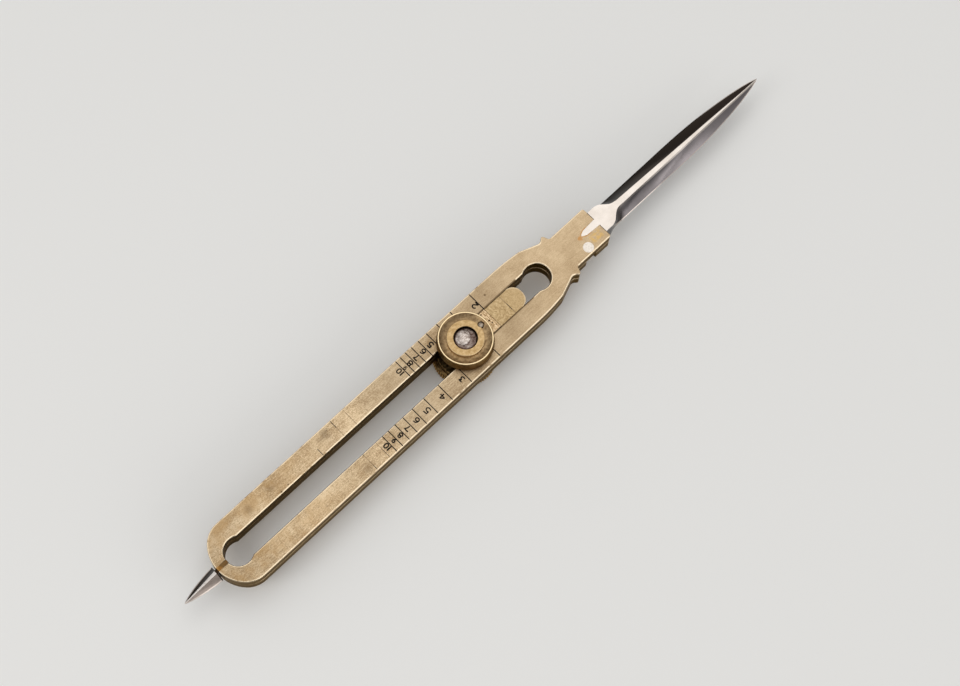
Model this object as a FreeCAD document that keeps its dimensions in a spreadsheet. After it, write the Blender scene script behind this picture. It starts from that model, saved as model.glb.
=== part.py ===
import FreeCAD, Part
import math
import os

import Sketcher
from FreeCAD import Placement, Rotation, Vector

# Proportional divider. Two slotted nickel-silver legs lie one on the other, each with a long steel
# point at one end and a short one at the other. A slide runs in each slot, and a stud through both
# slides is the pivot. A round head holds the stud on the upper face and a milled nut clamps it below.
#
# Frame: the origin lies on the pivot axis at the nut's lower face, with the legs closed. +X runs along
# the legs to the long points, +Z is up, out of the head, and +Y completes the right-handed frame.
# Every length along X is measured from the pivot axis. Millimetres throughout.

DRIVING_SIZES = {
    # Length of the instrument: the long and short points divide this length at the pivot.
    "divided_length": 171.0,
    "point_wear": 1.7,
    "short_point_length": 9.0,
    # Legs.
    "leg_thickness": 2.6,
    "leg_half_width": 7.25,
    "leg_gap": 0.02,
    "edge_break": 0.12,
    "end_crown": 0.8,
    "end_corner": 5.4,
    "end_land": 2.62,
    # Slot with a drilled eye at each end, the eyes' centres measured from the pivot axis.
    "slot_half_width": 2.65,
    "eye_relief": 0.47,
    "short_eye_reach": 63.56,
    "long_eye_reach": 21.27,
    # Shoulder between the slot and the block: a brow, a straight taper to the neck and a small nib.
    "eye_to_nib": 7.28,
    "brow_to_nib": 6.05,
    "brow_length": 7.5,
    "brow_drop": 0.53,
    "neck_half_width": 4.95,
    "neck_round": 1.2,
    "nib_lead": 1.3,
    "nib_rise": 1.15,
    "nib_fall": 0.7,
    "nib_round": 0.45,
    "nib_root_round": 0.5,
    # Block that holds the long point and the steady pin.
    "nib_to_block_end": 10.95,
    "block_half_width": 4.3,
    "block_corner": 0.5,
    # Tongue of the long point, let into the block, and tang of the short point, let into the end.
    "tongue_length": 5.05,
    "tongue_root": 0.85,
    "tongue_front": 0.65,
    "tongue_nose": 1.4,
    "tongue_nose_round": 0.25,
    "tongue_cheek_round": 0.8,
    "tang_half_width": 0.46,
    "solder_gap": 0.02,
    # Long point: a full-thickness root, then two hollow-ground facets up to a ridge. The hollow is a share
    # of the facet's width.
    "blade_half_width": 2.9,
    "root_length": 2.0,
    "runout_length": 4.0,
    "parallel_length": 20.5,
    "ridge_half_width": 0.75,
    "edge_height": 0.14,
    "facet_hollow": 0.035,
    "tip_size": 0.04,
    # Short point.
    "short_half_width": 1.75,
    "short_height": 2.2,
    "short_ridge": 0.35,
    "short_shoulder": 0.25,
    "tang_height": 2.0,
    # Steady pin in the upper block, and the notch that it drops into in the lower block.
    "pin_radius": 1.2,
    "pin_edge_wall": 0.25,
    "pin_to_block_end": 5.5,
    "pin_short": 0.1,
    "notch_clearance": 0.05,
    "notch_flare": 0.45,
    # Slides.
    "slide_clearance": 0.04,
    "slide_face_gap": 0.03,
    "slide_reach": 16.65,
    "slide_heel": 2.05,
    "slide_corner": 2.3,
    "slide_step": 0.25,
    "slide_step_reach": 8.0,
    # Stud.
    "stud_radius": 1.5,
    "stud_flat": 1.2,
    "stud_end_radius": 2.3,
    "stud_dome": 0.45,
    "stud_sink": 0.1,
    "stud_foot_sink": 0.25,
    "stud_bevel": 0.22,
    "running_clearance": 0.04,
    "fixed_clearance": 0.01,
    # Head: a hollow-faced ring round a bush, locked together by a small pin on their joint. The same gap
    # lies between head and upper leg as between washer and lower leg.
    "head_gap": 0.02,
    "ring_radius": 6.1,
    "ring_height": 2.85,
    "ring_bevel": 0.15,
    "ring_wall_height": 1.35,
    "rim_radius": 5.7,
    "rim_width": 0.2,
    "groove_depth": 0.5,
    "bush_radius": 4.0,
    "bush_rise": 0.25,
    "bush_bevel": 0.1,
    "bush_recess_radius": 2.5,
    "bush_recess_depth": 1.0,
    "bush_recess_bevel": 0.1,
    "lock_pin_radius": 0.55,
    "lock_pin_dome": 0.12,
    "lock_pin_offset": 0.42,
    "lock_pin_drop": 0.55,
    "lock_pin_length": 1.9,
    "lock_pin_mouth": 0.22,
    "lock_pin_mouth_depth": 0.6,
    # Clamp nut with a milled rim between a bevel and a shoulder, and the plain washer above it.
    "nut_radius": 7.0,
    "nut_height": 3.2,
    "nut_bevel": 0.5,
    "nut_shoulder": 0.3,
    "nut_neck": 0.7,
    "milling_depth": 0.28,
    "milling_crest": 0.06,
    "washer_radius": 6.0,
    "washer_thickness": 0.5,
    "washer_bevel": 0.15,
}
MILLING_TEETH = 72

doc = FreeCAD.newDocument("ProportionalDivider")
sheet = doc.addObject("Spreadsheet::Sheet", "Sizes")
for row, (alias, number) in enumerate(DRIVING_SIZES.items(), start=1):
    sheet.set(f"A{row}", alias)
    sheet.set(f"B{row}", str(number))
    sheet.setAlias(f"B{row}", alias)
doc.recompute()


class Size:
    """A length held both as a number and as the formula that ties it to the sheet."""

    def __init__(self, number, formula):
        self.number = number
        self.formula = formula

    def __add__(self, other):
        other = as_size(other)
        return Size(self.number + other.number, f"({self.formula} + {other.formula})")

    def __sub__(self, other):
        other = as_size(other)
        return Size(self.number - other.number, f"({self.formula} - {other.formula})")

    def __mul__(self, other):
        other = as_size(other)
        return Size(self.number * other.number, f"({self.formula} * {other.formula})")

    def __truediv__(self, other):
        other = as_size(other)
        return Size(self.number / other.number, f"({self.formula} / {other.formula})")

    def __radd__(self, other):
        return as_size(other) + self

    def __rsub__(self, other):
        return as_size(other) - self

    def __rmul__(self, other):
        return as_size(other) * self

    def __rtruediv__(self, other):
        return as_size(other) / self

    def __neg__(self):
        return Size(-self.number, f"(0 - {self.formula})")


def as_size(value):
    return value if isinstance(value, Size) else Size(float(value), f"{float(value):.6f}")


def root(value):
    return Size(math.sqrt(value.number), f"sqrt({value.formula})")


def cell(alias):
    """The named driving size."""
    return Size(float(getattr(sheet, alias)), f"Sizes.{alias}")


def bind(item, prop, value):
    """Tie one property of a document object to the sheet."""
    item.setExpression(prop, as_size(value).formula)


# Derived places, all from the sheet.
eye_radius = cell("slot_half_width") + cell("eye_relief")
short_eye_x = -cell("short_eye_reach")
long_eye_x = cell("long_eye_reach")
leg_end_x = short_eye_x - eye_radius - cell("end_land")
nib_x = long_eye_x + cell("eye_to_nib")
block_end_x = nib_x + cell("nib_to_block_end")
short_tip_x = leg_end_x - cell("short_point_length")
long_tip_x = cell("divided_length") - cell("point_wear") + short_tip_x
pin_x = block_end_x - cell("pin_to_block_end")
pin_offset = cell("block_half_width") - cell("pin_edge_wall") - cell("pin_radius")
lock_pin_x = cell("bush_radius") + cell("lock_pin_offset")
bush_height = cell("ring_height") + cell("bush_rise")
lock_pin_top = bush_height - cell("lock_pin_drop")
lock_pin_foot = lock_pin_top - cell("lock_pin_length")

lower_face_z = cell("nut_height") + cell("washer_thickness") + cell("head_gap")
mating_z = lower_face_z + cell("leg_thickness") + cell("leg_gap") / 2
upper_face_z = mating_z + cell("leg_gap") / 2 + cell("leg_thickness")
head_z = upper_face_z + cell("head_gap")


# Sketch helpers.
def new_body(label):
    body = doc.addObject("PartDesign::Body", "Body_" + label)
    body.Label = label
    return body


def origin_part(body, role):
    return next(item for item in body.Origin.OriginFeatures if item.Role == role)


def new_sketch(body, name, plane="XY_Plane", lift=None):
    """A sketch on one of the body's own origin planes, lifted along the plane's normal."""
    sketch = body.newObject("Sketcher::SketchObject", name)
    sketch.AttachmentSupport = [(origin_part(body, plane), "")]
    sketch.MapMode = "FlatFace"
    if lift is not None:
        bind(sketch, "AttachmentOffset.Base.z", lift)
    return sketch


def constrain(sketch, kind, *values):
    """Add a constraint whose last value is tied to the sheet."""
    value = as_size(values[-1])
    index = sketch.addConstraint(Sketcher.Constraint(kind, *values[:-1], value.number))
    sketch.setExpression(f"Constraints[{index}]", value.formula)


def fix_point(sketch, edge, end, x, y):
    """Hold one end of an edge at x, y from the sketch's origin."""
    constrain(sketch, "DistanceX", -1, 1, edge, end, x)
    constrain(sketch, "DistanceY", -1, 1, edge, end, y)


def arc_centre(start, end, radius, turn, major):
    """Centre of the arc from start to end that turns left (+1) or right (-1)."""
    run = end - start
    side = turn if not major else -turn
    rise = math.sqrt(max(radius ** 2 - (run.Length / 2) ** 2, 0))
    normal = Vector(-run.y, run.x, 0).normalize()
    return (start + end) / 2 + normal * rise * side


def rounded_ends(before, corner, after, radius):
    """Ends of the arc that rounds a corner between two straight edges, and which way it turns."""
    inward = (corner - before).normalize()
    outward = (after - corner).normalize()
    angle = inward.getAngle(outward)
    setback = radius * math.tan(angle / 2)
    turn = 1 if inward.cross(outward).z > 0 else -1
    return corner - inward * setback, corner + outward * setback, turn


def add_arc(sketch, start, end, radius, turn, major=False):
    """Arc whose radius is tied to the sheet, with the numbers of its start and end points."""
    centre = arc_centre(start, end, radius.number, turn, major)
    first, last = (start, end) if turn > 0 else (end, start)
    angles = [math.atan2(place.y - centre.y, place.x - centre.x) for place in (first, last)]
    circle = Part.Circle(centre, Vector(0, 0, 1), radius.number)
    edge = sketch.addGeometry(Part.ArcOfCircle(circle, *angles), False)
    constrain(sketch, "Radius", edge, radius)
    return (edge, 1, 2) if turn > 0 else (edge, 2, 1)


def draw(sketch, *outline):
    """Closed outline. Each entry is one of

    (x, y)                a sharp corner, with a straight edge to the next one
    (x, y, radius)        a corner between straight edges, rounded
    (x, y, radius, turn)  a sharp corner, with an arc to the next one: turn is +1 to the left or -1 to
                          the right, and 2 or -2 where the arc is more than half a circle
    """
    corners = [(as_size(entry[0]), as_size(entry[1])) for entry in outline]
    places = [Vector(x.number, y.number, 0) for x, y in corners]
    count = len(outline)
    rounds = {}
    for index, entry in enumerate(outline):
        if len(entry) == 3:
            before, after = places[index - 1], places[(index + 1) % count]
            rounds[index] = rounded_ends(before, places[index], after, as_size(entry[2]).number)
    edges = []
    for index, entry in enumerate(outline):
        after = (index + 1) % count
        start = rounds[index][1] if index in rounds else places[index]
        end = rounds[after][0] if after in rounds else places[after]
        if len(entry) == 4:
            turn = int(math.copysign(1, entry[3]))
            edges.append(add_arc(sketch, start, end, as_size(entry[2]), turn, abs(entry[3]) > 1))
        else:
            edges.append((sketch.addGeometry(Part.LineSegment(start, end), False), 1, 2))
    for index, (x, y) in enumerate(corners):
        inward, _, inward_end = edges[index - 1]
        outward, outward_start, _ = edges[index]
        if index not in rounds:
            join = (inward, inward_end, outward, outward_start)
            sketch.addConstraint(Sketcher.Constraint("Coincident", *join))
            fix_point(sketch, outward, outward_start, x, y)
            continue
        arc, near, far = add_arc(sketch, *rounds[index][:2], as_size(outline[index][2]), rounds[index][2])
        sketch.addConstraint(Sketcher.Constraint("Tangent", inward, inward_end, arc, near))
        sketch.addConstraint(Sketcher.Constraint("Tangent", arc, far, outward, outward_start))
        sharp = sketch.addGeometry(Part.Point(places[index]), True)
        fix_point(sketch, sharp, 1, x, y)
        sketch.addConstraint(Sketcher.Constraint("PointOnObject", sharp, 1, inward))
        sketch.addConstraint(Sketcher.Constraint("PointOnObject", sharp, 1, outward))


def draw_circle(sketch, x, y, radius):
    """Full circle."""
    x, y, radius = as_size(x), as_size(y), as_size(radius)
    circle = Part.Circle(Vector(x.number, y.number, 0), Vector(0, 0, 1), radius.number)
    edge = sketch.addGeometry(circle, False)
    fix_point(sketch, edge, 3, x, y)
    constrain(sketch, "Radius", edge, radius)


# Feature helpers. Every cut is noted, so that one that removes nothing is found at the end.
cuts = []


def pad(body, sketch, name, length):
    feature = body.newObject("PartDesign::Pad", name)
    feature.Profile = sketch
    bind(feature, "Length", length)
    return feature


def cut_up(body, sketch, name):
    """Cut from the sketch's plane upwards through everything."""
    before = body.Tip
    feature = body.newObject("PartDesign::Pocket", name)
    feature.Profile = sketch
    feature.Type = "ThroughAll"
    feature.Reversed = True
    cuts.append((before, feature))
    return feature


def turn(body, sketch, name):
    """Turn a half profile round the body's Z axis."""
    feature = body.newObject("PartDesign::Revolution", name)
    feature.Profile = sketch
    feature.ReferenceAxis = (sketch, ["V_Axis"])
    feature.Angle = 360
    return feature


def break_flat_edges(body, name, size, heights):
    """Bevel every edge of the flat faces that lie at the given heights."""
    doc.recompute()
    solid = body.Tip
    wanted = []
    for number, face in enumerate(solid.Shape.Faces, start=1):
        box = face.BoundBox
        flat = box.ZLength < 1e-6
        if flat and any(abs(box.ZMin - height.number) < 1e-6 for height in heights):
            wanted.append(f"Face{number}")
    feature = body.newObject("PartDesign::Chamfer", name)
    feature.Base = (solid, wanted)
    bind(feature, "Size", size)
    cuts.append((solid, feature))
    return feature


def place(item, z, turned_over=False):
    """Put a piece at its height. A turned-over piece is rolled half a turn about X."""
    item.Placement = Placement(Vector(0, 0, 0), Rotation(Vector(1, 0, 0), 180 if turned_over else 0))
    bind(item, "Placement.Base.z", z)
    return item


# The legs.
def leg_half_outline():
    """Half of the leg's outline, from its crowned end along the side to the block, and back on the axis."""
    side_y = cell("leg_half_width")
    crown = side_y + cell("end_crown")
    corner = cell("end_corner")
    crown_x = leg_end_x + crown
    corner_y = side_y - corner
    corner_run = root((crown - corner) * (crown - corner) - corner_y * corner_y)
    reach = crown / (crown - corner)
    brow_x = nib_x - cell("brow_to_nib")
    brow_y = side_y - cell("brow_drop")
    length, drop = cell("brow_length"), cell("brow_drop")
    brow_radius = (length * length + drop * drop) / (drop * 2)
    block, neck = cell("block_half_width"), cell("neck_half_width")
    return (
        (leg_end_x, 0, crown, -1),
        (crown_x - corner_run * reach, corner_y * reach, corner, -1),
        (crown_x - corner_run, side_y),
        (brow_x - length, side_y, brow_radius, -1),
        (brow_x, brow_y),
        (nib_x - cell("nib_lead"), neck, cell("neck_round")),
        (nib_x, neck + cell("nib_rise"), cell("nib_round")),
        (nib_x + cell("nib_fall"), block, cell("nib_root_round")),
        (block_end_x, block, cell("block_corner")),
        (block_end_x, 0),
    )


def slot_outline():
    """The slot, with a drilled eye at each end that is a little wider than it."""
    half = cell("slot_half_width")
    mouth = root(eye_radius * eye_radius - half * half)
    return (
        (long_eye_x - mouth, half),
        (short_eye_x + mouth, half, eye_radius, 2),
        (short_eye_x + mouth, -half),
        (long_eye_x - mouth, -half, eye_radius, 2),
    )


def tongue_outline(slack, back):
    """The pointed tongue in the block, opened by slack and carried back past the block's end."""
    nose_x = block_end_x - cell("tongue_length") - slack
    cheek_x = nose_x + cell("tongue_nose")
    cheek_y = cell("tongue_front") + slack
    mouth_y = cell("tongue_root") + slack
    nose_round, cheek_round = cell("tongue_nose_round") + slack, cell("tongue_cheek_round") + slack
    return (
        (nose_x, 0, nose_round),
        (cheek_x, -cheek_y, cheek_round),
        (block_end_x, -mouth_y),
        (block_end_x + back, -mouth_y),
        (block_end_x + back, mouth_y),
        (block_end_x, mouth_y),
        (cheek_x, cheek_y, cheek_round),
    )


# The seat's arc stops this far below the pin's centre on each side, where its straight flanks start.
SEAT_ANGLE = math.radians(12)


def notch_outline():
    """Round seat for the steady pin, open to the side of the turned-over block and flared to the slot."""
    seat = cell("pin_radius") + cell("notch_clearance")
    side = seat * math.cos(SEAT_ANGLE)
    side_y = pin_offset - seat * math.sin(SEAT_ANGLE)
    edge_y = cell("block_half_width")
    mouth_y = edge_y + cell("pin_radius")
    return (
        (pin_x - side, side_y, seat, 1),
        (pin_x + side, side_y),
        (pin_x + seat + cell("notch_clearance"), edge_y),
        (pin_x + seat + cell("notch_clearance"), mouth_y),
        (pin_x - seat - cell("notch_flare"), mouth_y),
        (pin_x - seat - cell("notch_flare"), edge_y),
    )


def leg(label, turned_over):
    """One leg with its mating face on its own XY plane."""
    body = new_body(label)
    outline = new_sketch(body, label + "_half_outline")
    draw(outline, *leg_half_outline())
    plate = pad(body, outline, label + "_plate", cell("leg_thickness"))
    mirrored = body.newObject("PartDesign::Mirrored", label + "_both_halves")
    mirrored.Originals = [plate]
    mirrored.MirrorPlane = (origin_part(body, "XZ_Plane"), [""])
    body.Tip = mirrored
    slot = new_sketch(body, label + "_slot_outline")
    draw(slot, *slot_outline())
    cut_up(body, slot, label + "_slot")
    faces = (as_size(0), cell("leg_thickness"))
    break_flat_edges(body, label + "_broken_edges", cell("edge_break"), faces)
    tongue = new_sketch(body, label + "_tongue_outline")
    draw(tongue, *tongue_outline(cell("solder_gap"), cell("root_length")))
    cut_up(body, tongue, label + "_tongue_slot")
    tang = new_sketch(body, label + "_tang_outline")
    half = cell("tang_half_width") + cell("solder_gap")
    outside_x = leg_end_x - cell("end_land")
    draw(tang, (outside_x, -half), (short_eye_x, -half), (short_eye_x, half), (outside_x, half))
    cut_up(body, tang, label + "_tang_slot")
    steady = new_sketch(body, label + "_steady_outline")
    if turned_over:
        draw(steady, *notch_outline())
    else:
        draw_circle(steady, pin_x, -pin_offset, cell("pin_radius") + cell("fixed_clearance"))
    cut_up(body, steady, label + "_steady_hole")
    return place_on_mating_plane(body, turned_over)


def place_on_mating_plane(item, turned_over):
    half_gap = cell("leg_gap") / 2
    return place(item, mating_z - half_gap if turned_over else mating_z + half_gap, turned_over)


# The points. Both have a flat back on the mating plane and two hollow facets up to a ridge. Sections of
# the blades stand at these fractions of each stretch, closer together where the outline curves more.
RUN_OUT_STEPS = (0, 0.25, 0.5, 0.75)
PARALLEL_STEPS = (0, 0.05, 0.15, 0.32, 0.6)
LONG_OGIVE_STEPS = (0, 0.2, 0.4, 0.6, 0.76, 0.88, 0.95)
SHORT_OGIVE_STEPS = (0, 0.25, 0.5, 0.7, 0.85, 0.95)
# The run-out starts almost flat.
LEAST_HOLLOW_STEP = 0.06


def facet_section(body, name, x, half_width, ridge, height, edge, hollow_step=1):
    """Cross-section of a point: a flat back, a narrow upright edge each side, hollow facets and a ridge."""
    sketch = new_sketch(body, name, "YZ_Plane", x)
    chord = root((half_width - ridge) * (half_width - ridge) + (height - edge) * (height - edge))
    hollow = cell("facet_hollow") * hollow_step
    radius = chord * (1 / (hollow * 8) + hollow / 2)
    draw(
        sketch,
        (-half_width, 0),
        (half_width, 0),
        (half_width, edge, radius, -1),
        (ridge, height),
        (-ridge, height, radius, -1),
        (-half_width, edge),
    )
    return sketch


def tip_section(body, name, x):
    """The blunted tip, where the facets have all but met."""
    tip = cell("tip_size")
    return facet_section(body, name, x, tip, tip / 2, tip, tip / 4)


def loft(body, name, sections):
    """Skin through cross-sections, from root to tip."""
    feature = body.newObject("PartDesign::AdditiveLoft", name)
    feature.Profile = sections[0]
    feature.Sections = sections[1:]
    return feature


def ogive(fraction, shoulder, nose):
    """Share of the full half-width left at this fraction of the way along a pointed end.

    A higher shoulder keeps the width for longer, and a higher nose makes the tip sharper.
    """
    return (1 - fraction ** shoulder) ** nose


def long_point(label, turned_over):
    """Spade point: tongue and root of the leg's thickness, then a run-out into the hollow facets."""
    body = new_body(label)
    shape = new_sketch(body, label + "_tongue_outline")
    draw(shape, *tongue_outline(as_size(0), cell("root_length") / 2))
    pad(body, shape, label + "_tongue", cell("leg_thickness"))
    half, root_end_x = cell("blade_half_width"), block_end_x + cell("root_length")
    base = new_sketch(body, label + "_root_outline")
    draw(base, (block_end_x, -half), (root_end_x, -half), (root_end_x, half), (block_end_x, half))
    pad(body, base, label + "_root", cell("leg_thickness"))

    facet_x = root_end_x + cell("runout_length")
    ogive_x = facet_x + cell("parallel_length")
    blade_length = long_tip_x - facet_x
    tip, thickness = cell("tip_size"), cell("leg_thickness")
    full_ridge, full_edge = cell("ridge_half_width"), cell("edge_height")
    sections = []

    def section_name():
        return f"{label}_section_{len(sections) + 1}"

    # The grinding wheel's run-out: the ridge narrows from the root in an S-curve.
    for step in RUN_OUT_STEPS:
        x = root_end_x + cell("runout_length") * step
        ridge = full_ridge + (half - full_ridge) * ((1 + math.cos(math.pi * step)) / 2)
        shape = (half, ridge, thickness, full_edge, max(step, LEAST_HOLLOW_STEP))
        sections.append(facet_section(body, section_name(), x, *shape))
    # The blade: the ridge falls in a straight line to the tip, and the sides close in an ogive.
    places = [(facet_x + cell("parallel_length") * step, 1) for step in PARALLEL_STEPS]
    for step in LONG_OGIVE_STEPS:
        places.append((ogive_x + (long_tip_x - ogive_x) * step, ogive(step, shoulder=1.7, nose=0.72)))
    for x, width_share in places:
        left = (long_tip_x - x) / blade_length
        ridge = tip + (full_ridge - tip) * left
        height = tip + (thickness - tip) * left
        edge = tip / 4 + (full_edge - tip / 4) * width_share
        sections.append(facet_section(body, section_name(), x, half * width_share, ridge, height, edge))
    sections.append(tip_section(body, section_name(), long_tip_x))
    loft(body, label + "_blade", sections)
    return place_on_mating_plane(body, turned_over)


def short_point(label, turned_over):
    """Short point: a thin tang in the leg's end, and a small faceted blade standing out of it."""
    body = new_body(label)
    root_x = leg_end_x - cell("short_shoulder")
    half = cell("tang_half_width")
    tang = new_sketch(body, label + "_tang_outline")
    inner_x = short_eye_x - eye_radius + cell("edge_break")
    outer_x = root_x - cell("short_shoulder")
    draw(tang, (outer_x, -half), (inner_x, -half), (inner_x, half), (outer_x, half))
    pad(body, tang, label + "_tang", cell("tang_height"))
    tip, full_edge = cell("tip_size"), cell("edge_height")
    sections = []
    for step in SHORT_OGIVE_STEPS:
        name = f"{label}_section_{len(sections) + 1}"
        x = root_x - (root_x - short_tip_x) * step
        width = cell("short_half_width") * ogive(step, shoulder=1.5, nose=0.75)
        ridge = tip + (cell("short_ridge") - tip) * (1 - step)
        height = tip + (cell("short_height") - tip) * (1 - step)
        edge = tip / 4 + (full_edge - tip / 4) * (1 - step)
        sections.append(facet_section(body, name, x, width, ridge, height, edge))
    sections.append(tip_section(body, label + "_tip", short_tip_x))
    loft(body, label + "_blade", sections)
    return place_on_mating_plane(body, turned_over)


def steady_pin(label):
    """Plain pin, flush with the upper leg's face and just short of the lower leg's."""
    pin = doc.addObject("Part::Cylinder", "Pin_" + label)
    pin.Label = label
    bind(pin, "Radius", cell("pin_radius"))
    bind(pin, "Height", cell("leg_thickness") * 2 + cell("leg_gap") - cell("pin_short"))
    bind(pin, "Placement.Base.x", pin_x)
    bind(pin, "Placement.Base.y", -pin_offset)
    bind(pin, "Placement.Base.z", lower_face_z + cell("pin_short"))
    return pin


# The slides.
def double_flat(radius, flat):
    """Round bore with two flats across Y."""
    reach = root(radius * radius - flat * flat)
    return (
        (reach, flat),
        (-reach, flat, radius, 1),
        (-reach, -flat),
        (reach, -flat, radius, 1),
    )


def slide(label, turned_over):
    """Sliding block: full width under the head, then a lower stretch that carries the index line."""
    body = new_body(label)
    half = cell("slot_half_width") - cell("slide_clearance")
    corner = cell("slide_corner")
    heel_x, toe_x = -cell("slide_heel"), cell("slide_reach")
    outline = new_sketch(body, label + "_outline")
    draw(
        outline,
        (heel_x, -half, corner),
        (toe_x, -half, corner),
        (toe_x, half, corner),
        (heel_x, half, corner),
    )
    height = cell("leg_thickness") - cell("slide_face_gap") * 2
    pad(body, outline, label + "_block", height)
    step = new_sketch(body, label + "_step_outline", lift=height - cell("slide_step"))
    step_x, beyond_x = cell("slide_step_reach"), toe_x + cell("slide_step")
    beyond_y = half + cell("slide_step")
    draw(step, (step_x, -beyond_y), (beyond_x, -beyond_y), (beyond_x, beyond_y), (step_x, beyond_y))
    cut_up(body, step, label + "_step")
    bore = new_sketch(body, label + "_bore_outline")
    if turned_over:
        draw_circle(bore, 0, 0, cell("stud_radius") + cell("running_clearance"))
    else:
        slack = cell("fixed_clearance")
        draw(bore, *double_flat(cell("stud_radius") + slack, cell("stud_flat") + slack))
    cut_up(body, bore, label + "_bore")
    half_gap = cell("leg_gap") / 2 + cell("slide_face_gap")
    return place(body, mating_z - half_gap if turned_over else mating_z + half_gap, turned_over)


# The stud and the head.
def pivot_stud(label):
    """Shouldered stud: threaded end in the nut, journal in the slides, larger domed end in the bush."""
    body = new_body(label)
    foot_z, shoulder_z = cell("stud_foot_sink"), head_z
    small, large = cell("stud_radius"), cell("stud_end_radius")
    top_z = head_z + bush_height - cell("stud_sink")
    dome = cell("stud_dome")
    dome_radius = (large * large + dome * dome) / (dome * 2)
    bevel = cell("stud_bevel")
    profile = new_sketch(body, label + "_profile", "XZ_Plane")
    draw(
        profile,
        (0, foot_z),
        (small - bevel, foot_z),
        (small, foot_z + bevel),
        (small, shoulder_z),
        (large, shoulder_z),
        (large, top_z - dome, dome_radius, 1),
        (0, top_z),
    )
    turn(body, profile, label + "_turned")
    flats = new_sketch(body, label + "_flats_outline", lift=mating_z)
    flat, beyond = cell("stud_flat"), large
    draw(flats, (-beyond, flat), (beyond, flat), (beyond, beyond), (-beyond, beyond))
    draw(flats, (-beyond, -beyond), (beyond, -beyond), (beyond, -flat), (-beyond, -flat))
    before = body.Tip
    milled = body.newObject("PartDesign::Pocket", label + "_flats")
    milled.Profile = flats
    milled.Reversed = True
    bind(milled, "Length", shoulder_z - mating_z)
    cuts.append((before, milled))
    return place(body, as_size(0))


def lock_pin_hole(body, label):
    """Blind hole for the lock pin on the joint of bush and ring, with a wider mouth round the pin's end."""
    radius = cell("lock_pin_radius")
    shank = new_sketch(body, label + "_pin_outline", lift=lock_pin_foot)
    draw_circle(shank, lock_pin_x, 0, radius + cell("fixed_clearance"))
    cut_up(body, shank, label + "_pin_hole")
    mouth = new_sketch(body, label + "_mouth_outline", lift=lock_pin_top - cell("lock_pin_mouth_depth"))
    draw_circle(mouth, lock_pin_x, 0, radius + cell("lock_pin_mouth"))
    cut_up(body, mouth, label + "_pin_mouth")


def head_ring(label):
    """Ring with a raised thin rim and a hollow face down to the bush."""
    body = new_body(label)
    bore = cell("bush_radius") + cell("fixed_clearance")
    outer, rim, width = cell("ring_radius"), cell("rim_radius"), cell("rim_width")
    height, depth = cell("ring_height"), cell("groove_depth")
    bevel = cell("ring_bevel")
    lip, floor = rim - width, height - depth
    run = lip - bore
    hollow = (depth * depth + run * run) / (depth * 2)
    profile = new_sketch(body, label + "_profile", "XZ_Plane")
    draw(
        profile,
        (bore, 0),
        (outer - bevel, 0),
        (outer, bevel),
        (outer, cell("ring_wall_height")),
        (rim + width, height - width / 2),
        (rim + width / 2, height),
        (rim - width / 2, height),
        (lip, height - width / 2, hollow, -1),
        (bore, floor),
    )
    turn(body, profile, label + "_turned")
    lock_pin_hole(body, label)
    return place(body, head_z)


def head_bush(label):
    """Bush screwed on the stud, with a wide recess round the stud's domed end."""
    body = new_body(label)
    radius = cell("bush_radius")
    height = bush_height
    bore = cell("stud_end_radius") + cell("fixed_clearance")
    recess, depth = cell("bush_recess_radius"), cell("bush_recess_depth")
    bevel, recess_bevel = cell("bush_bevel"), cell("bush_recess_bevel")
    profile = new_sketch(body, label + "_profile", "XZ_Plane")
    draw(
        profile,
        (bore, 0),
        (radius, 0),
        (radius, height - bevel),
        (radius - bevel, height),
        (recess + recess_bevel, height),
        (recess, height - recess_bevel),
        (recess, height - depth),
        (bore, height - depth),
    )
    turn(body, profile, label + "_turned")
    lock_pin_hole(body, label)
    return place(body, head_z)


def head_lock_pin(label):
    """Small pin with a rounded end, let into both bush and ring."""
    body = new_body(label)
    radius, length, dome = cell("lock_pin_radius"), cell("lock_pin_length"), cell("lock_pin_dome")
    dome_radius = (radius * radius + dome * dome) / (dome * 2)
    profile = new_sketch(body, label + "_profile", "XZ_Plane")
    draw(profile, (0, 0), (radius, 0), (radius, length - dome, dome_radius, 1), (0, length))
    turn(body, profile, label + "_turned")
    place(body, head_z + lock_pin_foot)
    bind(body, "Placement.Base.x", lock_pin_x)
    return body


# The clamp nut and its washer.
def clamp_nut(label):
    """Round nut with a milled rim, turned on the stud's threaded end."""
    body = new_body(label)
    bore = cell("stud_radius") + cell("running_clearance")
    radius, height, bevel = cell("nut_radius"), cell("nut_height"), cell("nut_bevel")
    neck = radius - cell("nut_neck")
    profile = new_sketch(body, label + "_profile", "XZ_Plane")
    draw(
        profile,
        (bore, 0),
        (radius - bevel, 0),
        (radius, bevel),
        (radius, height - bevel),
        (neck, height - cell("nut_shoulder")),
        (neck, height),
        (bore, height),
    )
    turn(body, profile, label + "_turned")
    depth = cell("milling_depth")
    half_open = radius * math.sin(math.pi / MILLING_TEETH) - cell("milling_crest") / 2
    valley = new_sketch(body, label + "_valley_outline")
    draw(
        valley,
        (radius - depth, 0),
        (radius, -half_open),
        (radius + depth, -half_open),
        (radius + depth, half_open),
        (radius, half_open),
    )
    first = cut_up(body, valley, label + "_valley")
    milling = body.newObject("PartDesign::PolarPattern", label + "_milling")
    milling.Originals = [first]
    milling.Axis = (origin_part(body, "Z_Axis"), [""])
    milling.Angle = 360
    milling.Occurrences = MILLING_TEETH
    body.Tip = milling
    cuts.append((first, milling))
    return place(body, as_size(0))


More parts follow.
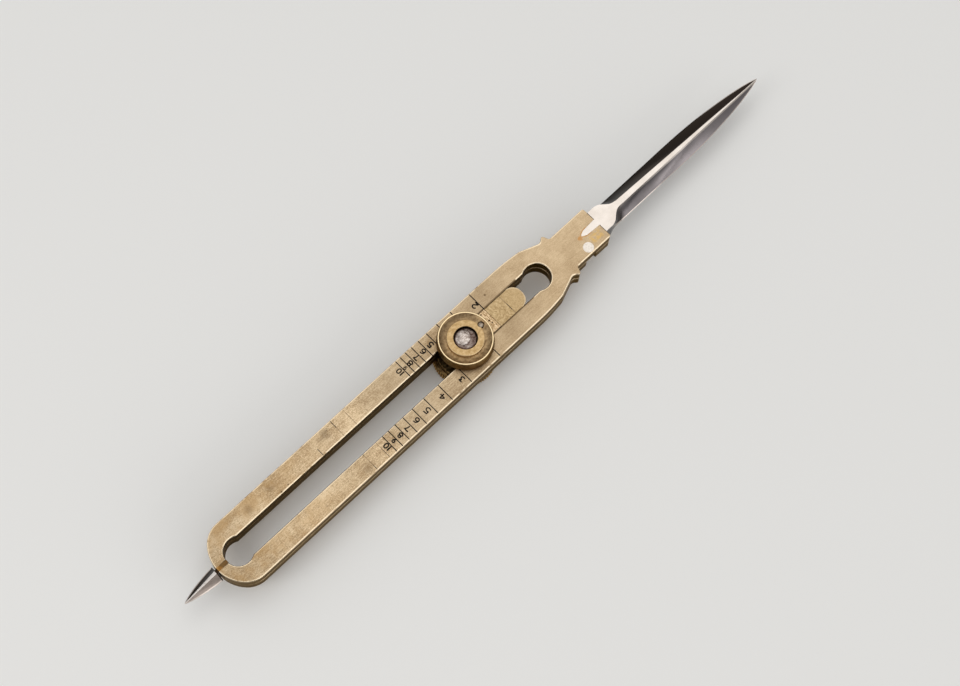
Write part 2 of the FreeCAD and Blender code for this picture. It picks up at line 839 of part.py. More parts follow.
def nut_washer(label):
    """Thin washer between the nut and the lower leg."""
    body = new_body(label)
    bore = cell("stud_radius") + cell("running_clearance")
    radius, height, bevel = cell("washer_radius"), cell("washer_thickness"), cell("washer_bevel")
    profile = new_sketch(body, label + "_profile", "XZ_Plane")
    draw(
        profile,
        (bore, 0),
        (radius - bevel, 0),
        (radius, bevel),
        (radius, height - bevel),
        (radius - bevel, height),
        (bore, height),
    )
    turn(body, profile, label + "_turned")
    return place(body, cell("nut_height"))


pieces = []
for side, turned_over in (("upper", False), ("lower", True)):
    pieces.append(leg(side + "_leg", turned_over))
    pieces.append(long_point(side + "_long_point", turned_over))
    pieces.append(short_point(side + "_short_point", turned_over))
    pieces.append(slide(side + "_slide", turned_over))
pieces.append(steady_pin("steady_pin"))
pieces.append(pivot_stud("pivot_stud"))
pieces.append(head_ring("head_ring"))
pieces.append(head_bush("head_bush"))
pieces.append(head_lock_pin("head_lock_pin"))
pieces.append(clamp_nut("clamp_nut"))
pieces.append(nut_washer("nut_washer"))
doc.recompute()

# Nothing is written unless every object is sound and every cut has removed something.
failed = [item.Name for item in doc.Objects if {"Invalid", "Error"} & set(item.State)]
if failed:
    raise RuntimeError("failed objects: " + ", ".join(failed))
idle = [after.Name for before, after in cuts if after.Shape.Volume >= before.Shape.Volume - 1e-6]
if idle:
    raise RuntimeError("cuts that remove nothing: " + ", ".join(idle))
for piece in pieces:
    if piece.Shape.isNull() or not piece.Shape.isValid() or len(piece.Shape.Solids) != 1:
        raise RuntimeError("unsound piece: " + piece.Label)

os.makedirs("parts", exist_ok=True)
for piece in pieces:
    piece.Shape.exportStep(os.path.join("parts", piece.Label + ".step"))
    box = piece.Shape.BoundBox
    print(f"{piece.Label:18s} volume {piece.Shape.Volume:9.3f}  x {box.XMin:7.2f} {box.XMax:7.2f}"
          f"  y {box.YMin:6.2f} {box.YMax:6.2f}  z {box.ZMin:6.2f} {box.ZMax:6.2f}")
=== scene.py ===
import math

import bmesh
import bpy
from mathutils import Matrix, Vector


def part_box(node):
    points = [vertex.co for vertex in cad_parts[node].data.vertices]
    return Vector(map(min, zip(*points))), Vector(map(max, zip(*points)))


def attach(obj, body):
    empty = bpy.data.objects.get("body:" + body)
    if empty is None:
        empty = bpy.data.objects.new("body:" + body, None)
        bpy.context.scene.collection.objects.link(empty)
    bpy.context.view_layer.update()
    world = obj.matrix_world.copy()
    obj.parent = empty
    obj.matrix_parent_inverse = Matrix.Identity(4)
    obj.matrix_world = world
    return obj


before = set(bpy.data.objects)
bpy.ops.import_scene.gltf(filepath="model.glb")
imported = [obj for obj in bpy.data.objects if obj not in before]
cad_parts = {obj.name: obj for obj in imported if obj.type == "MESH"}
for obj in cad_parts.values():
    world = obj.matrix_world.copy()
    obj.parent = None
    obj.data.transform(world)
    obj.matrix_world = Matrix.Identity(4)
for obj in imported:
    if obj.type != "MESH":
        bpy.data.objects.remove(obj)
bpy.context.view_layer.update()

MM = 0.001

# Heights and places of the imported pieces, in millimetres, read from the frame.
UPPER_LEG = [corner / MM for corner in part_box("upper_leg")]
LOWER_LEG = [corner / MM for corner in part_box("lower_leg")]
UPPER_SLIDE = [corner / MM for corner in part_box("upper_slide")]
SHORT_POINT = [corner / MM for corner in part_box("upper_short_point")]
TOP_FACE = UPPER_LEG[1].z
UNDER_FACE = LOWER_LEG[0].z
MATING = (TOP_FACE + UNDER_FACE) / 2
LEG_END = UPPER_LEG[0].x
BLOCK_END = UPPER_LEG[1].x
HEAD_RING = [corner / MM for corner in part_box("head_ring")]
LOCK_PIN = [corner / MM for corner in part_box("head_lock_pin")]
STUD = [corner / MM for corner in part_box("pivot_stud")]
RIM_TOP = HEAD_RING[1].z
PIN_PLACE = (LOCK_PIN[0].x + LOCK_PIN[1].x) / 2
STUD_RADIUS = STUD[1].x
# Radii of the head's rim, its bush and the recess for the stud, and of the nut's rim between and on its ribs.
RIM_RADIUS = 5.7
BUSH_RADIUS = 4.0
RECESS_RADIUS = 2.5
NUT_VALLEY = 6.8
NUT_CREST = 6.95
# Dents and stains on the legs: x, y, radius and strength.
DENTS = (
    (10.4, 4.75, 0.34, 0.85),
    (-49.2, 2.95, 0.34, 0.9),
    (-47.2, 3.15, 0.22, 0.8),
    (-15.6, 6.6, 0.25, 0.4),
)
STAINS = (
    (-33.9, 6.05, 0.5, 0.6),
    (-34.6, 5.7, 1.7, 0.5),
    (-36.2, 5.6, 1.2, 0.3),
    (-44.6, -5.6, 0.4, 0.3),
    (-33.2, -5.6, 1.9, 0.35),
    (-56.5, 4.9, 1.6, 0.35),
    (-50.5, 5.2, 1.4, 0.3),
)
# Dark pits on the slide's flush part: x, y and radius.
FLUSH_PITS = ((7.05, 0.05, 0.26), (7.2, -0.75, 0.2), (6.7, 2.1, 0.2), (7.6, -1.6, 0.14))
# The upper slide's face is lowered beyond a step, and both slides are round about ROUND_END.
STEP_X = 8.0
STEP_DEPTH = 0.25
ROUND_END = UPPER_SLIDE[1].x - 2.6
# The leg's outline: its slot with an eye at each end, and the arcs of its short end.
SLOT_HALF = 2.65
EYE_RADIUS = 3.12
SHORT_EYE = -63.56
LONG_EYE = 21.27
END_LAND = 2.62
CROWN_RADIUS = 8.05
CORNER_RADIUS = 5.4
CORNER_X = -63.14
CORNER_Y = 1.85
# Half widths of the tongue, the points and the leg: x and half width.
TONGUE_FLANK = ((34.4, 0.0), (34.8, 0.2), (35.2, 0.48), (36.0, 0.66), (37.0, 0.72), (39.5, 0.85))
LONG_FLANK = (
    (39.5, 2.9),
    (65.0, 2.91),
    (70.0, 2.8),
    (75.0, 2.52),
    (80.0, 2.07),
    (84.0, 1.57),
    (87.0, 1.08),
    (89.0, 0.67),
    (91.0, 0.0),
)
LONG_RIDGE = (
    (39.5, 3.0),
    (42.5, 2.7),
    (43.5, 1.9),
    (44.5, 1.12),
    (46.0, 0.74),
    (60.0, 0.52),
    (75.0, 0.31),
    (91.0, 0.0),
)
SHORT_RIDGE = ((-78.3, 0.0), (-69.8, 0.34))
SHORT_FLANK = ((-78.3, 0.0), (-77.0, 0.55), (-75.0, 1.04), (-73.0, 1.39), (-71.0, 1.65), (-69.4, 1.75))
LEG_FLANK = (
    (-70.0, 7.25),
    (15.0, 7.25),
    (18.75, 7.12),
    (22.5, 6.72),
    (26.6, 5.1),
    (27.25, 5.0),
    (28.35, 5.95),
    (28.75, 5.9),
    (29.3, 4.42),
    (29.8, 4.3),
    (39.5, 4.3),
)


# ---------------------------------------------------------------------------------------------------
# Material graphs
# ---------------------------------------------------------------------------------------------------
def srgb(red, green, blue):
    """Linear colour of an sRGB triple given as 0 to 255."""
    values = [channel / 255 for channel in (red, green, blue)]
    linear = [v / 12.92 if v <= 0.04045 else ((v + 0.055) / 1.055) ** 2.4 for v in values]
    return (*linear, 1.0)


class Graph:
    """A material's node tree, with one short method for each kind of node. Coordinates are millimetres."""

    def __init__(self, name):
        self.material = bpy.data.materials.new(name)
        self.material.use_nodes = True
        self.tree = self.material.node_tree
        self.tree.nodes.clear()
        self.shader = self.node("ShaderNodeBsdfPrincipled")
        output = self.node("ShaderNodeOutputMaterial")
        self.join(self.shader.outputs["BSDF"], output.inputs["Surface"])
        source = self.node("ShaderNodeTexCoord")
        self.place = self.vector("SCALE", source.outputs["Object"], scale=1 / MM)
        self.normal = source.outputs["Normal"]
        self.x, self.y, self.z = self.split(self.place)
        self.normal_x, self.normal_y, self.normal_z = self.split(self.normal)

    def node(self, kind):
        return self.tree.nodes.new(kind)

    def join(self, source, target):
        """Connect a socket, or set a plain value."""
        if isinstance(source, bpy.types.NodeSocket):
            self.tree.links.new(source, target)
        else:
            target.default_value = source

    def split(self, vector):
        node = self.node("ShaderNodeSeparateXYZ")
        self.join(vector, node.inputs[0])
        return node.outputs[0], node.outputs[1], node.outputs[2]

    def vector(self, operation, a, b=None, scale=None):
        node = self.node("ShaderNodeVectorMath")
        node.operation = operation
        self.join(a, node.inputs[0])
        if b is not None:
            self.join(b, node.inputs[1])
        if scale is not None:
            self.join(scale, node.inputs["Scale"])
        return node.outputs["Value"] if operation in ("LENGTH", "DISTANCE") else node.outputs["Vector"]

    def math(self, operation, a, b=0.0, c=0.0, clamp=False):
        node = self.node("ShaderNodeMath")
        node.operation = operation
        node.use_clamp = clamp
        for value, socket in zip((a, b, c), node.inputs):
            self.join(value, socket)
        return node.outputs[0]

    def step(self, value, low, high):
        """Smooth 0 to 1 as value goes from low to high. Low may be the larger."""
        node = self.node("ShaderNodeMapRange")
        node.interpolation_type = "SMOOTHSTEP"
        self.join(value, node.inputs["Value"])
        turned = low > high
        node.inputs["From Min"].default_value = high if turned else low
        node.inputs["From Max"].default_value = low if turned else high
        node.inputs["To Min"].default_value = 1.0 if turned else 0.0
        node.inputs["To Max"].default_value = 0.0 if turned else 1.0
        return node.outputs["Result"]

    def band(self, value, centre, half, soft):
        """1 within half of the centre, falling to 0 over soft."""
        offset = self.math("ABSOLUTE", self.math("SUBTRACT", value, centre))
        return self.step(offset, half + soft, half)

    def either(self, a, b):
        return self.math("MAXIMUM", a, b)

    def both(self, a, b):
        return self.math("MULTIPLY", a, b)

    def stretch(self, x=1.0, y=1.0, z=1.0):
        """Coordinates with each axis multiplied."""
        return self.vector("MULTIPLY", self.place, (x, y, z))

    def join_up(self, x, y):
        """Level vector from its parts."""
        node = self.node("ShaderNodeCombineXYZ")
        for value, socket in zip((x, y), node.inputs):
            self.join(value, socket)
        return node.outputs[0]

    def reach(self, x, y):
        """Distance from the upright line through x, y."""
        return self.vector("DISTANCE", self.stretch(1.0, 1.0, 0.0), (x, y, 0.0))

    def shade(self, value, *stops):
        """Colour that runs straight between the (position, colour) stops."""
        first, last = stops[0][0], stops[-1][0]
        share = self.math("DIVIDE", self.math("SUBTRACT", value, first), last - first, clamp=True)
        placed = [((position - first) / (last - first), colour) for position, colour in stops]
        return self.ramp(share, *placed)

    def track(self, value, *stops):
        """Number that runs straight between the (position, number) stops."""
        top = max(number for position, number in stops)
        greys = [(position, (number / top,) * 3 + (1.0,)) for position, number in stops]
        return self.math("MULTIPLY", self.shade(value, *greys), top)

    def noise(self, scale, detail=4.0, rough=0.55, where=None, distort=0.0):
        """Noise from 0 to 1, averaging a half, with scale in cycles per millimetre."""
        node = self.node("ShaderNodeTexNoise")
        self.join(where if where is not None else self.place, node.inputs["Vector"])
        node.inputs["Scale"].default_value = scale
        node.inputs["Detail"].default_value = detail
        node.inputs["Roughness"].default_value = rough
        node.inputs["Distortion"].default_value = distort
        return node.outputs["Fac"]

    def spots(self, scale, low, high):
        """Scattered round spots: 1 in each spot's middle."""
        node = self.node("ShaderNodeTexVoronoi")
        self.join(self.place, node.inputs["Vector"])
        node.inputs["Scale"].default_value = scale
        return self.step(node.outputs["Distance"], high, low)

    def mix(self, share, a, b):
        """Colour a where share is 0, b where it is 1."""
        node = self.node("ShaderNodeMix")
        node.data_type = "RGBA"
        self.join(share, node.inputs["Factor"])
        self.join(a, node.inputs["A"])
        self.join(b, node.inputs["B"])
        return node.outputs["Result"]

    def blend(self, share, a, b):
        """Number a where share is 0, b where it is 1."""
        node = self.node("ShaderNodeMix")
        node.data_type = "FLOAT"
        for value, name in ((share, "Factor"), (a, "A"), (b, "B")):
            self.join(value, node.inputs[name])
        return node.outputs["Result"]

    def ramp(self, value, *stops):
        """Colour ramp through (position, colour) stops."""
        node = self.node("ShaderNodeValToRGB")
        self.join(value, node.inputs["Fac"])
        elements = node.color_ramp.elements
        for element, (position, colour) in ((elements[0], stops[0]), (elements[1], stops[-1])):
            element.position, element.color = position, colour
        for position, colour in stops[1:-1]:
            elements.new(position).color = colour
        return node.outputs["Color"]

    def tones(self, value, *stops):
        """Colour ramp through (position, red, green, blue) stops, with sRGB levels of 0 to 255."""
        return self.ramp(value, *[(position, srgb(*levels)) for position, *levels in stops])

    def bump(self, height, strength, distance, previous=None):
        """Bump whose height of 0 to 1 stands for distance in millimetres."""
        node = self.node("ShaderNodeBump")
        node.inputs["Strength"].default_value = strength
        node.inputs["Distance"].default_value = distance * MM
        self.join(height, node.inputs["Height"])
        if previous is not None:
            self.join(previous, node.inputs["Normal"])
        return node.outputs["Normal"]

    def finish(self, colour, rough, metallic=1.0, normal=None, edge=None, gloss=None):
        """Join up the shader. Edge is the tint that a metal keeps at a grazing angle."""
        if edge is not None:
            self.shader.inputs["Specular Tint"].default_value = edge
        if gloss is not None:
            self.shader.inputs["Specular IOR Level"].default_value = gloss
        self.join(colour, self.shader.inputs["Base Color"])
        self.join(rough, self.shader.inputs["Roughness"])
        self.join(metallic, self.shader.inputs["Metallic"])
        if normal is not None:
            self.join(normal, self.shader.inputs["Normal"])
        return self.material


# ---------------------------------------------------------------------------------------------------
# Materials
# ---------------------------------------------------------------------------------------------------
NICKEL_PALE = srgb(224, 200, 164)
NICKEL = srgb(196, 171, 136)
NICKEL_DARK = srgb(160, 134, 100)
NICKEL_GOLD = srgb(172, 138, 92)
NICKEL_BROWN = srgb(92, 72, 48)
# Pale colour of worn edges, also used as a painted highlight.
WORN_EDGE_AND_HIGHLIGHT = srgb(246, 228, 198)
# Dark brown: grime in the slide's pits, and painted shade in the slot and in the gap round the stud.
GRIME_AND_SHADE = srgb(34, 26, 18)
# Brown of the walls: grime, with painted shade.
WALL_DIRT_AND_SHADE = srgb(68, 55, 38)
WALL_GOLD = srgb(104, 86, 60)
ORANGE = srgb(182, 128, 66)
BRAZE_YELLOW = srgb(208, 168, 92)
DARKENING_BROWN = srgb(46, 33, 20)
STEEL_PALE = srgb(206, 196, 186)
TARNISHED = (0.72, 0.6, 0.46, 1.0)
# Greys of the long points' facets along X, towards -Y by the ridge and by the edge: painted reflections on
# the hollow grinding.
GROUND_REFLECTIONS = (
    ((46.5, 109), (50, 88), (55, 64), (60, 66), (65, 104), (70, 143), (80, 114), (91, 90)),
    ((46.5, 112), (50, 98), (55, 112), (65, 203), (70, 186), (75, 141), (80, 121), (91, 100)),
)
# Colours of the facets towards +Y: painted shade, darker than those towards -Y.
FAR_GROUND_SHADE = (
    (42, srgb(30, 26, 23)),
    (47, srgb(40, 35, 31)),
    (51, srgb(46, 40, 35)),
    (56, srgb(60, 52, 46)),
)
# How bright the painted highlight on the shoulder beside the long points' ridge is along X.
SHOULDER_HIGHLIGHT = ((46.0, 0.15), (60.0, 0.35), (68.0, 0.6), (75.0, 0.8))
# How much darker the legs are painted along X.
DARKER_ALONG_X = (
    (-61.0, 0.17),
    (-55.0, 0.07),
    (-48.0, 0.0),
    (-43.0, 0.04),
    (-37.0, 0.13),
    (-31.0, 0.06),
    (-27.0, 0.04),
    (-24.0, 0.22),
    (-17.0, 0.3),
    (4.0, 0.18),
    (10.0, 0.23),
    (15.0, 0.17),
    (20.0, 0.09),
    (39.5, 0.06),
)
# How far the hand has polished the upper edge of the outer walls along X, with a painted highlight on the
# same band.
RUBBED_WALL_HIGHLIGHT = (
    (-69.3, 0.2),
    (-61.0, 0.3),
    (-53.0, 0.6),
    (-20.0, 0.56),
    (-6.0, 0.4),
    (10.0, 0.36),
    (24.0, 0.2),
)
# A depth that no edge of the slot comes near, for the stretches without a slot.
CLEAR_OF_SLOT = 9.0


def outline_depth(g):
    """Millimetres inside the nearest edge of the leg's outline or of its slot."""
    side = g.math("ABSOLUTE", g.y)
    flank = g.math("SUBTRACT", g.track(g.x, *LEG_FLANK), side)
    crown = g.math("SUBTRACT", CROWN_RADIUS, g.reach(LEG_END + CROWN_RADIUS, 0.0))
    past_corner = g.join_up(g.math("SUBTRACT", g.x, CORNER_X), g.math("SUBTRACT", side, CORNER_Y))
    corner = g.math("SUBTRACT", CORNER_RADIUS, g.vector("LENGTH", past_corner))
    lean = g.math("SUBTRACT", side, g.math("SUBTRACT", LEG_END + CROWN_RADIUS, g.x))
    end = g.blend(g.math("GREATER_THAN", lean, 0.0), crown, corner)
    outer = g.blend(g.math("LESS_THAN", g.x, CORNER_X), flank, end)
    straight = g.both(g.math("GREATER_THAN", g.x, SHORT_EYE), g.math("LESS_THAN", g.x, LONG_EYE))
    slot = g.blend(straight, CLEAR_OF_SLOT, g.math("SUBTRACT", side, SLOT_HALF))
    eyes = [g.math("SUBTRACT", g.reach(x, 0.0), EYE_RADIUS) for x in (SHORT_EYE, LONG_EYE)]
    inner = g.math("MINIMUM", slot, g.math("MINIMUM", *eyes))
    return g.math("MINIMUM", outer, inner)


def frayed_reach(g, mottle, x, y, size):
    """Distance from the upright line through x, y, with an uneven border for a blot of this size."""
    return g.math("MULTIPLY_ADD", g.math("SUBTRACT", mottle, 0.5), -1.6 * size, g.reach(x, y))


def leg_face(g, mottle, brushed, speckle, specks):
    """The legs' broad faces: tarnished at the short end, pale round the numbers and grey by the block."""
    clouds = g.noise(0.13, detail=3)
    tone = g.math("MULTIPLY", clouds, 0.26)
    tone = g.math("MULTIPLY_ADD", mottle, 0.2, tone)
    tone = g.math("MULTIPLY_ADD", brushed, 0.24, tone)
    tone = g.math("MULTIPLY_ADD", speckle, 0.3, tone)
    coarse = g.both(g.math("SUBTRACT", speckle, 0.5), g.step(g.x, -16, -30))
    tone = g.math("MULTIPLY_ADD", coarse, 0.16, tone)
    calm = g.step(g.x, -6, 10)
    tone = g.blend(g.both(calm, 0.5), tone, 0.485)
    rubbed = g.both(g.step(g.x, -50, -34), g.step(g.x, -4, -16))
    tone = g.math("MULTIPLY_ADD", rubbed, 0.02, tone)
    colour = g.ramp(tone, (0.42, NICKEL_DARK), (0.5, NICKEL), (0.58, NICKEL_PALE))
    colour = g.mix(g.track(g.x, *DARKER_ALONG_X), colour, DARKENING_BROWN)
    aged = g.both(g.step(g.x, -26, -60), g.step(g.noise(0.28, detail=6, rough=0.6), 0.66, 0.36))
    colour = g.mix(g.both(aged, 0.62), colour, NICKEL_GOLD)
    colour = g.mix(g.both(specks, g.both(g.step(g.x, 4, -45), 0.7)), colour, NICKEL_BROWN)
    streak = g.noise(1.0, detail=1, where=g.vector("ADD", g.stretch(0.12, 5.0, 0.0), (7.0, 3.0, 1.0)))
    colour = g.mix(g.both(g.band(streak, 0.6, 0.004, 0.012), g.step(g.x, 4, -16)), colour, NICKEL_DARK)
    for x, y, size, strength in STAINS:
        stain = g.step(frayed_reach(g, mottle, x, y, size), size, size * 0.1)
        colour = g.mix(g.both(stain, strength), colour, NICKEL_BROWN)
    return colour


def spilt_braze(g, colour, speckle, top):
    """Braze that has run round the tongue's nose and onto the block beside it."""
    nose = frayed_reach(g, speckle, BLOCK_END - 5.35, -0.2, 1.0)
    beside = g.math("SUBTRACT", g.math("ABSOLUTE", g.y), g.track(g.x, *TONGUE_FLANK))
    fillet = g.both(g.band(beside, 0.1, 0.06, 0.12), g.band(g.x, BLOCK_END - 3.8, 0.9, 0.6))
    burnt = g.either(g.step(nose, 0.7, 0.3), fillet)
    colour = g.mix(g.both(burnt, g.both(top, 0.75)), colour, ORANGE)
    spill_x = g.both(g.band(g.x, BLOCK_END - 2.4, 1.0, 0.8), top)
    spill = g.both(g.both(spill_x, g.band(g.y, -2.2, 0.5, 0.8)), g.step(g.noise(1.3, detail=5), 0.34, 0.6))
    return g.mix(g.both(spill, 0.7), colour, BRAZE_YELLOW)


def leg_walls(g, mottle, speckle, inside):
    """Walls of the legs: old grime and painted shade, darkest in the slot, with the upper edge rubbed bright
    by the hand and a painted highlight there.
    """
    streaks = g.noise(1.0, detail=4, rough=0.6, where=g.stretch(0.35, 7.0, 7.0))
    cloudy = g.math("MULTIPLY_ADD", streaks, 0.25, g.math("MULTIPLY", mottle, 0.4))
    cloudy = g.math("MULTIPLY_ADD", speckle, 0.35, cloudy)
    dirt_and_shade = g.ramp(cloudy, (0.4, WALL_DIRT_AND_SHADE), (0.6, WALL_GOLD))
    shaded = g.blend(g.step(g.z, MATING - 0.1, MATING + 0.1), 0.72, 0.88)
    # Painted shade in the slot: its walls are darkened, the upper leg's the most.
    dirt_and_shade = g.mix(g.both(inside, shaded), dirt_and_shade, GRIME_AND_SHADE)
    # A band under the upper edge: worn bright, with a painted highlight.
    rubbed_highlight = g.math("MULTIPLY_ADD", g.math("SUBTRACT", mottle, 0.5), 0.4, g.z)
    rubbed_highlight = g.both(g.step(rubbed_highlight, TOP_FACE - 1.3, TOP_FACE - 0.1), g.track(g.x, *RUBBED_WALL_HIGHLIGHT))
    return g.mix(g.both(rubbed_highlight, g.math("SUBTRACT", 1.0, inside)), dirt_and_shade, WORN_EDGE_AND_HIGHLIGHT)


def worn_edges(g, depth, upright, inside, beside_slide):
    """Where edges are worn bright and carry a painted highlight: not where the legs meet, and less in the
    slot or beside the slides.
    """
    ledge = g.both(g.step(upright, 0.3, 0.5), g.step(upright, 0.95, 0.85))
    line = g.both(g.step(depth, 0.32, 0.15), g.step(upright, 0.45, 0.6))
    wear_and_highlight = g.both(g.either(ledge, line), g.step(g.noise(0.5, detail=5), 0.32, 0.46))
    handled = g.step(g.math("ABSOLUTE", g.math("SUBTRACT", g.z, MATING)), 1.2, 2.0)
    wear_and_highlight = g.both(wear_and_highlight, g.blend(handled, g.blend(inside, 0.4, 0.0), 1.0))
    return g.both(wear_and_highlight, g.step(beside_slide, 1.0, 0.0))


def leg_metal():
    """Nickel silver: mottled and finely scratched, with walls of brown grime and painted shade, and edges
    worn bright with a painted highlight.
    """
    g = Graph("leg_nickel_silver")
    mottle = g.noise(0.62, detail=6, rough=0.66, distort=0.4)
    brushed = g.noise(1.0, detail=4, rough=0.6, where=g.stretch(0.5, 8.0, 8.0))
    speckle = g.noise(3.6, detail=3, rough=0.6)
    depth = outline_depth(g)
    rim_of_short_end = g.both(g.step(g.x, -26, -60), g.step(depth, 1.4, 0.3))
    pitted = g.either(g.step(g.noise(0.35, detail=3), 0.46, 0.6), rim_of_short_end)
    specks = g.both(g.spots(2.6, 0.08, 0.24), pitted)
    top = g.step(g.normal_z, 0.9, 0.97)
    upright = g.math("ABSOLUTE", g.normal_z)
    inside = g.both(g.step(g.math("ABSOLUTE", g.y), 3.3, 3.1), g.step(g.x, 30, 26))
    inside = g.both(inside, g.step(g.x, LEG_END + 0.9, LEG_END + 1.5))
    beside_slide = g.both(g.step(g.math("ABSOLUTE", g.y), 3.0, 2.85), g.band(g.x, 11.0, 6.4, 0.3))
    wear_and_highlight = worn_edges(g, depth, upright, inside, beside_slide)

    colour = leg_face(g, mottle, brushed, speckle, specks)
    colour = spilt_braze(g, colour, speckle, top)
    # The walls take brown grime and painted shade.
    colour = g.mix(g.step(upright, 0.45, 0.2), colour, leg_walls(g, mottle, speckle, inside))
    # Painted shade on the slot's edges beside the slides, in the gap between the parts.
    colour = g.mix(g.both(beside_slide, 0.75), colour, NICKEL_BROWN)
    # Edges worn bright, with a painted highlight.
    colour = g.mix(g.both(wear_and_highlight, 0.66), colour, WORN_EDGE_AND_HIGHLIGHT)
    for x, y, size, strength in DENTS:
        dent = g.both(g.step(frayed_reach(g, mottle, x, y, size), size, size * 0.3), top)
        colour = g.mix(g.both(dent, strength), colour, NICKEL_BROWN)

    rough = g.blend(wear_and_highlight, g.blend(speckle, 0.26, 0.46), 0.26)
    normal = g.bump(brushed, 0.3, 0.02)
    normal = g.bump(speckle, 0.3, 0.012, normal)
    normal = g.bump(specks, -0.4, 0.03, normal)
    return g.finish(colour, rough, normal=normal, edge=TARNISHED)


def slide_metal():
    """Yellower slide: bright and pitted where it is flush, wood-like figure on the lowered part, with painted
    shade by the step and along its sides, and a painted highlight round its end.
    """
    g = Graph("slide_nickel_silver")
    warp = g.noise(0.35, detail=2, where=g.stretch(1.0, 1.0, 0.0))
    bent = g.math("MULTIPLY_ADD", warp, 7.0, g.math("MULTIPLY", g.x, 0.5))
    waves = g.math("SINE", g.math("MULTIPLY", bent, 6.0))
    fine = g.math("SUBTRACT", g.noise(3.0, detail=4, rough=0.65), 0.5)
    calm = g.step(g.x, 11.0, 13.5)
    grain = g.math("MULTIPLY_ADD", fine, g.blend(calm, 0.5, 0.34), 0.5)
    figure = g.math("MULTIPLY_ADD", waves, g.blend(calm, 0.05, 0.02), grain)
    lowered = g.tones(figure, (0.38, 152, 126, 86), (0.5, 187, 160, 118), (0.62, 210, 185, 143))
    scratches = g.noise(1.0, detail=4, where=g.stretch(6.0, 1.4, 1.0), distort=1.2)
    flush = g.tones(scratches, (0.38, 140, 108, 70), (0.5, 198, 168, 127), (0.6, 236, 209, 171))
    for x, y, size in FLUSH_PITS:
        frayed = g.math("MULTIPLY_ADD", g.math("SUBTRACT", scratches, 0.5), -0.8 * size, g.reach(x, y))
        flush = g.mix(g.step(frayed, size, size * 0.5), flush, GRIME_AND_SHADE)
    upper = g.step(g.z, MATING - 0.1, MATING + 0.1)
    colour = g.mix(g.both(g.step(g.x, STEP_X + 0.05, STEP_X - 0.05), upper), lowered, flush)
    # A painted shadow on the lowered face beside the step.
    colour = g.mix(g.both(g.band(g.x, STEP_X + 0.12, 0.03, 0.08), g.both(upper, 0.8)), colour, NICKEL_BROWN)
    # The rounded end's edge: worn bright, with a painted highlight.
    cap = g.both(g.step(g.reach(ROUND_END, 0.0), 2.4, 2.56), g.step(g.x, ROUND_END + 0.2, ROUND_END + 0.8))
    colour = g.mix(g.both(cap, 0.3), colour, WORN_EDGE_AND_HIGHLIGHT)
    wall = g.step(g.math("ABSOLUTE", g.normal_z), 0.6, 0.3)
    colour = g.mix(wall, colour, srgb(74, 58, 36))
    # Painted shade along the slide's sides, in the gap to the slot.
    rim = g.both(g.step(g.math("ABSOLUTE", g.y), 2.42, 2.56), g.step(g.x, ROUND_END + 0.6, ROUND_END))
    colour = g.mix(g.both(rim, 0.7), colour, NICKEL_BROWN)
    normal = g.bump(scratches, 0.35, 0.03)
    normal = g.bump(figure, 0.2, 0.02, normal)
    return g.finish(colour, g.blend(figure, 0.34, 0.5), normal=normal, edge=TARNISHED)


def turned_rings(g, pitch):
    """Fine concentric tool marks round the Z axis, as a height from 0 to 1."""
    radius = g.vector("LENGTH", g.stretch(1.0, 1.0, 0.0))
    wobble = g.math("MULTIPLY", g.noise(0.5, detail=2), pitch)
    wave = g.math("SINE", g.math("MULTIPLY", g.math("ADD", radius, wobble), 2 * math.pi / pitch))
    return radius, g.math("MULTIPLY_ADD", wave, 0.5, 0.5)


